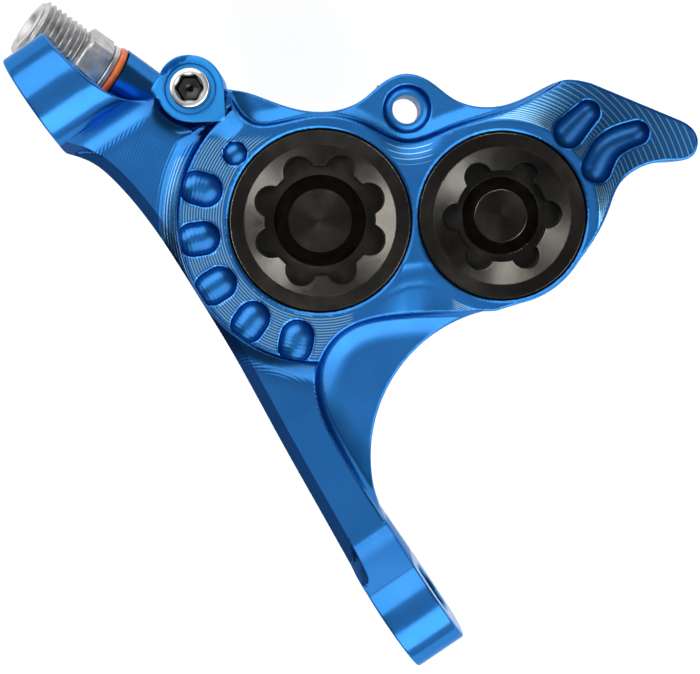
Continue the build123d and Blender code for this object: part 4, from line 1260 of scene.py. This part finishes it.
    def wheel_side(self) -> Shell:
        """The part of the frame's own block below the split, with its points merged."""
        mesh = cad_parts["caliper_body"].data
        points = np.empty(len(mesh.vertices) * 3, np.float32)
        mesh.vertices.foreach_get("co", points)
        mesh.calc_loop_triangles()
        faces = np.empty(len(mesh.loop_triangles) * 3, np.int32)
        mesh.loop_triangles.foreach_get("vertices", faces)
        points = np.round(points.reshape(-1, 3).astype(float) / MM, 4)
        merged, again = np.unique(points, axis=0, return_inverse=True)
        faces = again.reshape(-1)[faces].reshape(-1, 3)
        whole = (faces[:, 0] != faces[:, 1]) & (faces[:, 1] != faces[:, 2]) & (faces[:, 0] != faces[:, 2])
        net = FlatNet(merged, faces[whole], {Border.BLOCK: merged[:, 2] - self.split})
        net.cut(Border.BLOCK)
        net.drop(~net.inside(Border.BLOCK))
        return Shell(net.points, [net.faces])

    def build(self) -> list[bpy.types.Object]:
        """Make the block's four pieces, dress them and let them ride with the caliper."""
        finish = AnodisedBlue().make()
        pieces = []
        for name, shell, sharp in (
            ("machined_face", self.near_face(), 40.0), ("upper_ear", self.ear(-1), 40.0),
            ("lower_ear", self.ear(1), 40.0), ("wheel_side", self.wheel_side(), 25.0),
        ):
            piece = shell.build(name, sharp)
            piece.data.materials.append(finish)
            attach(piece, "caliper")
            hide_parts("caliper_body")
            pieces.append(piece)
        return pieces


# ---------------------------------------------------------------- the screwed pieces


@dataclass
class BoreCap:
    """A screwed cap: a disc with a dished middle, a lobed key pocket and a hub."""

    name: str
    centre: np.ndarray
    radius: float
    lobes: int
    reach: float
    land: float
    hub_foot: float
    hub_head: float
    hub_height: float
    lead: float
    top: float = 6.35
    rim: float = 1.6
    dish: float = 0.7
    pocket: float = 3.0
    edge: float = 0.14
    cell: float = 0.16

    def shell(self) -> Shell:
        """The cap's face as a lifted flat net: rim, cone, dished land, key pocket with its lobes, and hub."""
        lobe = 0.22 * self.reach
        reach = self.radius + 0.2
        cell = self.cell * 1
        net = FlatNet.over(np.array([-reach, -reach]), np.array([reach, reach]), cell)
        radius = np.linalg.norm(net.points, axis=1)
        turn = np.arange(self.lobes) * 2 * pi / self.lobes + radians(self.lead)
        middles = (self.reach - lobe) * np.stack([np.cos(turn), np.sin(turn)], axis=1)
        nearest = np.linalg.norm(net.points[:, None] - middles[None], axis=2).min(1)
        net.fields[Border.BLOCK] = radius - self.radius
        net.fields[Border.POCKET] = np.minimum(radius - self.land, nearest - lobe)
        net.fields[Border.HUB] = radius - self.hub_foot
        net.fields[Border.RAISED] = radius - self.hub_head
        net.fields[Border.STEP] = radius - (self.radius - self.rim)
        net.fields[Border.TERRACE] = radius - (self.reach - lobe)
        net.cut(Border.BLOCK)
        net.drop(~net.inside(Border.BLOCK))
        for border, levels in (
            (Border.BLOCK, (-0.3 * self.edge, -self.edge)), (Border.POCKET, (0.0, 0.3 * self.edge, self.edge)),
            (Border.HUB, (0.0,)), (Border.RAISED, (0.0, -self.edge)), (Border.STEP, (0.0,)), (Border.TERRACE, (0.0,)),
        ):
            for level in levels:
                net.cut(border, level)
        corner, shape = net.faces.reshape(-1), net.faces.shape
        radius = np.linalg.norm(net.points[corner], axis=1).reshape(shape)
        cone = self.radius - self.rim - (self.reach - lobe)
        fall = np.clip((self.radius - self.rim - radius) / cone, 0, 1) * self.dish
        in_pocket = np.broadcast_to(net.inside(Border.POCKET)[:, None], shape)
        floor = self.top - self.pocket
        slope = self.hub_height / (self.hub_foot - self.hub_head)
        hub = floor + np.clip((self.hub_foot - radius) * slope, 0, self.hub_height)
        height = np.where(in_pocket, hub, self.top - fall)
        gaps = np.where(in_pocket, FAR, np.minimum(
            -net.fields[Border.BLOCK][corner].reshape(shape), net.fields[Border.POCKET][corner].reshape(shape)
        ))
        height = height - fillet_rise(gaps, self.edge)
        floors = np.full(len(net.points), self.top - 3.4)
        shell = net.raised(height, floors, {}, {})
        turned_points = shell.points[:, :2] @ BORE_AXES + bore_to_row(self.centre)
        shell.points = np.column_stack([turned_points, shell.points[:, 2]])
        return shell

    def build(self) -> bpy.types.Object:
        """Make the cap and dress it in turned black anodising."""
        piece = self.shell().build(self.name, 36.0)
        centre = bore_to_row(self.centre)
        piece.data.materials.append(TurnedBlack(f"{self.name}_black", (centre[0], centre[1])).make())
        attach(piece, "caliper")
        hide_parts(self.name)
        return piece


@dataclass
class HoseUnion:
    """The hose's screwed stub with its hexagon, collar and thread, and the ring that seals it."""

    seat: np.ndarray = field(default_factory=lambda: np.array([*bore_to_row(np.array([-35.0, 17.0])), -15.6]))
    turn: float = 199.9
    rise: float = 17.0
    shoulder: float = 3.6
    collar: tuple = (4.3, 0.9, 1.6)
    hexagon: tuple = (4.0, 5.0)
    hexagon_angle: float = 43.0
    thread: tuple = (3.9, 5.0, 11.4)
    pitch: float = 0.75
    thread_depth: float = 0.46
    ring_radius: float = 4.15
    ring_section: float = 0.45
    bore: float = 1.4
    cone: float = 2.4

    def frame_axes(self) -> tuple[np.ndarray, np.ndarray]:
        """Direction of the union's axis and one across it."""
        rise, turn = radians(self.rise), radians(self.turn)
        out = np.array([cos(rise) * cos(turn), cos(rise) * sin(turn), sin(rise)])
        side = np.cross(out, [0, 0, 1])
        return out, side / np.linalg.norm(side)

    def stub(self) -> Shell:
        """Shoulder, collar, chamfered hexagon, undercut and the coned mouth, as one turned surface."""
        collar, collar_start, collar_end = self.collar
        flats, hexagon_end = self.hexagon
        out, side = self.frame_axes()
        stations = [
            Station(2.5, -5.0), Station(2.5, 0.0), Station(self.shoulder, 0.0), Station(self.shoulder, collar_start),
            Station(collar - 0.15, collar_start), Station(collar, collar_start + 0.15),
            Station(collar, collar_end - 0.1), Station(collar - 0.1, collar_end),
            Station(flats * 0.97, collar_end, 0.0), Station(flats, collar_end + 0.12, 0.55),
            Station(flats, collar_end + 0.3, 1.0), Station(flats, hexagon_end - 0.45, 1.0),
            Station(flats, hexagon_end - 0.2, 0.55), Station(flats * 0.97, hexagon_end, 0.0),
            Station(self.thread[0] - 0.55, hexagon_end), Station(self.thread[0] - 0.55, hexagon_end + 0.35),
        ]
        return turned(stations, self.seat, out, side, 180, self.hexagon_angle)

    def threaded(self) -> Shell:
        """The thread and the mouth: the radius follows a rounded ridge of the phase, pitch by pitch.

        The phase is the way along the axis over the pitch less the share of a turn, and the ridge fades out over
        the last half pitch at each end.

        Returns:
            The threaded surface, its end face and its coned mouth.
        """
        outer, start, end = self.thread
        out, side = self.frame_axes()
        turns = 96
        rows = int((end - start) / self.pitch * 12)
        along = np.linspace(start + 0.3, end, rows)[:, None]
        angle = np.linspace(0, 2 * pi, turns, endpoint=False)[None]
        phase = (along / self.pitch - angle / (2 * pi)) % 1
        ridge = np.clip(1.15 - 2.6 * np.abs(phase - 0.5), 0, 1)
        fade = np.clip(np.minimum((along - start - 0.3) / 0.4, (end - along) / 0.55), 0, 1)
        depth = self.thread_depth
        reach = outer - depth + depth * ridge * fade - 0.1 * (1 - np.clip((end - along) / 0.4, 0, 1))
        points = about_axis(self.seat, along, out, reach, angle, side)
        body = Shell(points, [grid_faces(rows, turns)])
        mouth = turned(
            [
                Station(outer - depth - 0.1, end), Station(outer - depth - 0.35, end),
                Station(self.cone, end), Station(self.bore, end - 1.2), Station(self.bore, end - 6.0),
                Station(0.01, end - 6.0),
            ],
            self.seat, out, side, turns,
        )
        return body.joined(mouth)

    def ring(self) -> Shell:
        """The orange ring: a circle of its section carried round the axis, pressed a little flat."""
        out, side = self.frame_axes()
        turns, sides = 120, 28
        around = np.linspace(0, 2 * pi, turns, endpoint=False)[:, None]
        section = np.linspace(0, 2 * pi, sides, endpoint=False)[None]
        reach = self.ring_radius + self.ring_section * 1.02 * np.cos(section)
        along = self.ring_section + self.ring_section * np.sin(section)
        points = about_axis(self.seat, along, out, reach, around, side)
        return Shell(points, [grid_faces(turns + 1, sides) % (turns * sides)])

    def build(self) -> list[bpy.types.Object]:
        """Make the union and its ring."""
        stub = self.stub().joined(self.threaded()).build("hose_union_stub", 28.0)
        stub.data.materials.append(
            Metal("union_steel_turned", (0.6, 0.6, 0.62), 0.42, 3600.0, 0.00002, mottle=0.55).make()
        )
        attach(stub, "caliper")
        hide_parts("hose_union")
        ring = self.ring().build("hose_seal_ring", 60.0)
        ring.data.materials.append(
            Moulded("orange_rubber", (0.6, 0.085, 0.008), (0.75, 0.16, 0.025), 0.33, 500.0).make()
        )
        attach(ring, "caliper")
        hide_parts("hose_oring")
        return [stub, ring]


@dataclass
class BleedScrew:
    """The bleed screw: a round head with a hexagon socket that ends in a drilled cone."""

    place: np.ndarray = field(default_factory=lambda: bore_to_row(np.array([-24.0, 14.9])))
    seat: float = 4.0
    head: float = 2.2
    height: float = 3.2
    shank: float = 1.5
    length: float = 6.0
    flats: float = 2.5
    socket: float = 2.0
    rim: float = 0.3

    def build(self) -> bpy.types.Object:
        """Make the screw as one turned surface from its tip, over its head, to the foot of its socket."""
        top = self.seat + self.height
        key = self.flats / 2
        stations = [
            Station(0.01, self.seat - self.length), Station(self.shank - 0.3, self.seat - self.length),
            Station(self.shank, self.seat - self.length + 0.3), Station(self.shank, self.seat),
            Station(self.head, self.seat), Station(self.head, top - self.rim),
            Station(self.head - 0.1, top - 0.1), Station(self.head - self.rim, top),
            Station(key + 0.36, top), Station(key + 0.1, top - 0.18, 0.55), Station(key, top - 0.3, 1.0),
            Station(key, top - self.socket + 0.2, 1.0), Station(key * 0.9, top - self.socket, 0.9),
            Station(0.55, top - self.socket - 0.05), Station(0.01, top - self.socket - 0.35),
        ]
        place = np.array([*self.place, 0.0])
        shell = turned(stations, place, np.array([0, 0, 1.0]), np.array([1.0, 0, 0]), 120, 27.0)
        # Painted shade inside the socket: the inside mark grows from 0 to 1 about the socket's rim and darkens the
        # metal below it.
        rim = shell.marks["way"].reshape(len(stations), -1)[9]
        shell.marks["inside"] = np.clip((shell.marks["way"] - np.tile(rim, len(stations)) + 0.05) / 0.1, 0, 1)
        piece = shell.build("bleed_screw_turned", 30.0)
        piece.data.materials.append(Metal("screw_bright", (0.74, 0.73, 0.71), 0.18, 900.0, 0.000003).make())
        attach(piece, "bleed")
        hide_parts("bleed_screw")
        return piece


# ---------------------------------------------------------------- the frame's own solids


@dataclass
class InnerParts:
    """Pistons, seals, pads and spring, which keep their solids and get the finish of the real ones."""

    steel: Metal = Metal("piston_ground_steel", (0.6, 0.6, 0.6), 0.22, 3000.0, 0.000002, (1, 1, 12))
    resin: Moulded = Moulded("insert_resin", (0.035, 0.018, 0.012), (0.09, 0.05, 0.03), 0.5, 2200.0)
    rubber: Moulded = Moulded("seal_black_rubber", (0.012, 0.012, 0.012), (0.03, 0.03, 0.03), 0.5, 1400.0)
    plate: Metal = Metal("pad_plate_steel", (0.33, 0.33, 0.34), 0.42, 900.0, 0.000008)
    lining: Moulded = Moulded(
        "friction_lining", (0.045, 0.04, 0.036), (0.42, 0.3, 0.16), 0.85, 1500.0, (0.58, 0.64), 0.00004
    )
    spring: Metal = Metal("spring_blued_steel", (0.5, 0.49, 0.46), 0.25, 1200.0, 0.000003)
    pad_travel: float = 1.2
    spring_room: float = 0.02

    def dress(self) -> None:
        """Give each remaining node of the frame the material of its kind."""
        made = {name: getattr(self, name).make() for name in ("steel", "resin", "rubber", "plate", "lining", "spring")}
        kinds = (
            ("_insert", "resin"), ("_seal", "rubber"), ("_cap_oring", "rubber"), ("_piston", "steel"),
            ("_plate", "plate"), ("_friction", "lining"), ("_spring", "spring"),
        )
        for name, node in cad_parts.items():
            for ending, finish in kinds:
                if name.endswith(ending):
                    node.data.materials.clear()
                    node.data.materials.append(made[finish])
                    LOG.info("%s dressed as %s", name, finish)
                    break
        self.flatten_spring()

    def flatten_spring(self) -> None:
        """Stand a copy in for the leaf spring, with a mesh of its own, and hide the frame's node.
        """
        piece = bpy.data.objects.new("pad_spring_leaf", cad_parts["pad_spring"].data.copy())
        bpy.context.scene.collection.objects.link(piece)
        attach(piece, "caliper")
        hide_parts("pad_spring")
        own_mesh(piece)


# ---------------------------------------------------------------- the studio


def standing(place: Vector, right: Vector, up: Vector, back: Vector) -> Matrix:
    """The matrix of an object at a place, with its X, Y and Z pointing right, up and back."""
    return Matrix.Translation(place) @ Matrix((right, up, back)).transposed().to_4x4()


@dataclass
class Studio:
    """Pale floor, two long softboxes, the caps' strip lights and the camera over the bores' face."""

    floor_height: float = -60.0
    light_away: float = 700.0
    light_middle: float = 25.0
    light_colour: tuple = (1.0, 0.95, 0.85)
    box_length: float = 1.3
    strip_length: float = 0.16
    strip_spread: float = 26.0
    strip_tilt: float = 34.0
    large_strips: tuple = (252.0, 219.0, 27.0, 102.0)
    large_radiance: float = 62.0
    small_strips: tuple = (22.0, 142.0, 210.0)
    small_radiance: float = 48.0
    width: int = 700
    height: int = 674
    camera_place: tuple = (-7.97, 18.66, 259.84)
    camera_aim: tuple = (5.8, 14.63, 6.5)
    camera_right: tuple = (0.5634, 0.826, 0.0175)
    focal: float = 2298.8

    def floor(self) -> None:
        """A pale floor below the object, which the studio's light makes a clean white."""
        reach = 2500.0
        points = np.array([(-reach, -reach, 0), (reach, -reach, 0), (reach, reach, 0), (-reach, reach, 0)], float)
        points[:, 2] = self.floor_height
        piece = Shell(points, [np.array([[0, 1, 2, 3]])]).build("pale_floor")
        nodes = Nodes("pale_floor_paint")
        nodes.set(Roughness=0.9, Specular_IOR_Level=0.0)
        tone = nodes.ramp(nodes.speckle(30, 3), 0.3, 0.7)
        nodes.feed(Base_Color=nodes.blend(tone, (0.93, 0.94, 0.96), (0.94, 0.95, 0.97)))
        piece.data.materials.append(nodes.material)

    def softbox(self, name: str, tilt: float, spread: float, radiance: float, turn: float = 0.0) -> bpy.types.Object:
        """A long soft light whose middle stands at an angle from straight up, towards +X.

        Args:
            name: the light's name.
            tilt: angle of its middle from straight up, in degrees.
            spread: angle that its width takes, in degrees.
            radiance: how bright its face is.
            turn: angle round the axle, in degrees.

        Returns:
            The light.
        """
        width = 2 * self.light_away * tan(radians(spread / 2)) * MM
        length = self.box_length
        light = bpy.data.lights.new(name, "AREA")
        light.shape = "RECTANGLE"
        light.size, light.size_y = width, length
        light.energy = radiance * pi * width * length
        light.color = self.light_colour
        lamp = bpy.data.objects.new(name, light)
        bpy.context.scene.collection.objects.link(lamp)
        lean, way = radians(tilt), radians(turn)
        out = Vector((sin(lean) * cos(way), sin(lean) * sin(way), cos(lean)))
        along = Vector((-sin(way), cos(way), 0))
        across = along.cross(out)
        middle = Vector((0, self.light_middle * MM, 0))
        lamp.matrix_world = standing(middle + out * self.light_away * MM, across, along, out)
        return lamp

    def cap_strip(self, cap: bpy.types.Object, centre: np.ndarray, turn: float, radiance: float) -> None:
        """A narrow strip light that only one cap takes, because its turned face fans such a light out.

        Args:
            cap: the cap.
            centre: the cap's centre.
            turn: direction of the strip round the axle, in degrees.
            radiance: how bright its face is.
        """
        name = f"{cap.name}_strip_{round(turn) % 360}"
        lamp = self.softbox(name, self.strip_tilt, self.strip_spread, radiance, turn)
        lamp.data.size_y = self.strip_length
        lamp.data.energy = radiance * pi * lamp.data.size * lamp.data.size_y
        lamp.location += Vector((centre[0], centre[1] - self.light_middle, 0)) * MM
        takes = bpy.data.collections.new(name)
        takes.objects.link(cap)
        lamp.light_linking.receiver_collection = takes

    def surroundings(self) -> None:
        """A room that is pale overhead and darker to the fork's side and away from it, and white for the camera."""
        world = bpy.data.worlds.new("studio_room")
        bpy.context.scene.world = world
        world.use_nodes = True
        tree = world.node_tree
        where = tree.nodes.new("ShaderNodeTexCoord")
        split = tree.nodes.new("ShaderNodeSeparateXYZ")
        tree.links.new(where.outputs["Generated"], split.inputs["Vector"])
        aside = tree.nodes.new("ShaderNodeMath")
        aside.operation = "ABSOLUTE"
        tree.links.new(split.outputs["Y"], aside.inputs[0])
        fade = tree.nodes.new("ShaderNodeMapRange")
        fade.interpolation_type = "SMOOTHSTEP"
        tree.links.new(aside.outputs[0], fade.inputs["Value"])
        for name, value in (("From Min", 0.05), ("From Max", 0.85), ("To Min", 0.8), ("To Max", 0.2)):
            fade.inputs[name].default_value = value
        room = tree.nodes["Background"]
        room.inputs["Color"].default_value = (0.94, 0.97, 1.0, 1)
        tree.links.new(fade.outputs["Result"], room.inputs["Strength"])
        white = tree.nodes.new("ShaderNodeBackground")
        white.inputs["Strength"].default_value = 1.0
        path = tree.nodes.new("ShaderNodeLightPath")
        mix = tree.nodes.new("ShaderNodeMixShader")
        tree.links.new(path.outputs["Is Camera Ray"], mix.inputs[0])
        tree.links.new(room.outputs[0], mix.inputs[1])
        tree.links.new(white.outputs[0], mix.inputs[2])
        tree.links.new(mix.outputs[0], tree.nodes["World Output"].inputs["Surface"])
        bpy.context.scene.view_settings.view_transform = "Standard"

    def camera(self) -> None:
        """The camera over the bores' face, turned a little towards the middle of the caliper."""
        data = bpy.data.cameras.new("studio_camera")
        data.sensor_width = 36.0
        data.lens = self.focal / self.width * data.sensor_width
        data.clip_start, data.clip_end = 0.01, 20.0
        camera = bpy.data.objects.new("studio_camera", data)
        bpy.context.scene.collection.objects.link(camera)
        back = (Vector(self.camera_place) - Vector(self.camera_aim)).normalized()
        up = back.cross(Vector(self.camera_right)).normalized()
        camera.matrix_world = standing(Vector(self.camera_place) * MM, up.cross(back), up, back)
        bpy.context.scene.camera = camera

    def build(self) -> None:
        """Set up the floor, the lights, the room and the camera."""
        self.floor()
        self.softbox("right_softbox", 51.0, 44.0, 2.8)
        self.softbox("left_softbox", -48.0, 54.0, 1.9)
        self.surroundings()
        self.camera()


def main() -> None:
    """Build every piece in order and report each one's count of faces."""
    logging.basicConfig(level=logging.INFO, format="%(name)s: %(message)s")
    block = Block()
    pieces = block.build()
    large_cap = BoreCap(
        "large_bore_cap", block.large, radius=10.0, lobes=8, reach=7.5, land=6.0,
        hub_foot=5.1, hub_head=3.5, hub_height=2.7, lead=22.5,
    ).build()
    small_cap = BoreCap(
        "small_bore_cap", block.small, radius=9.2, lobes=6, reach=6.5, land=5.0,
        hub_foot=4.3, hub_head=2.9, hub_height=1.0, lead=0.0,
    ).build()
    pieces.extend([large_cap, small_cap])
    pieces.extend(HoseUnion().build())
    pieces.append(BleedScrew().build())
    InnerParts().dress()
    studio = Studio()
    studio.build()
    for cap, centre, turns, radiance in (
        (large_cap, block.large, studio.large_strips, studio.large_radiance),
        (small_cap, block.small, studio.small_strips, studio.small_radiance),
    ):
        for turn in turns:
            studio.cap_strip(cap, bore_to_row(centre), turn, radiance)
    for piece in pieces:
        LOG.info("%s: %d faces", piece.name, len(piece.data.polygons))


if __name__ == "__main__":
    main()
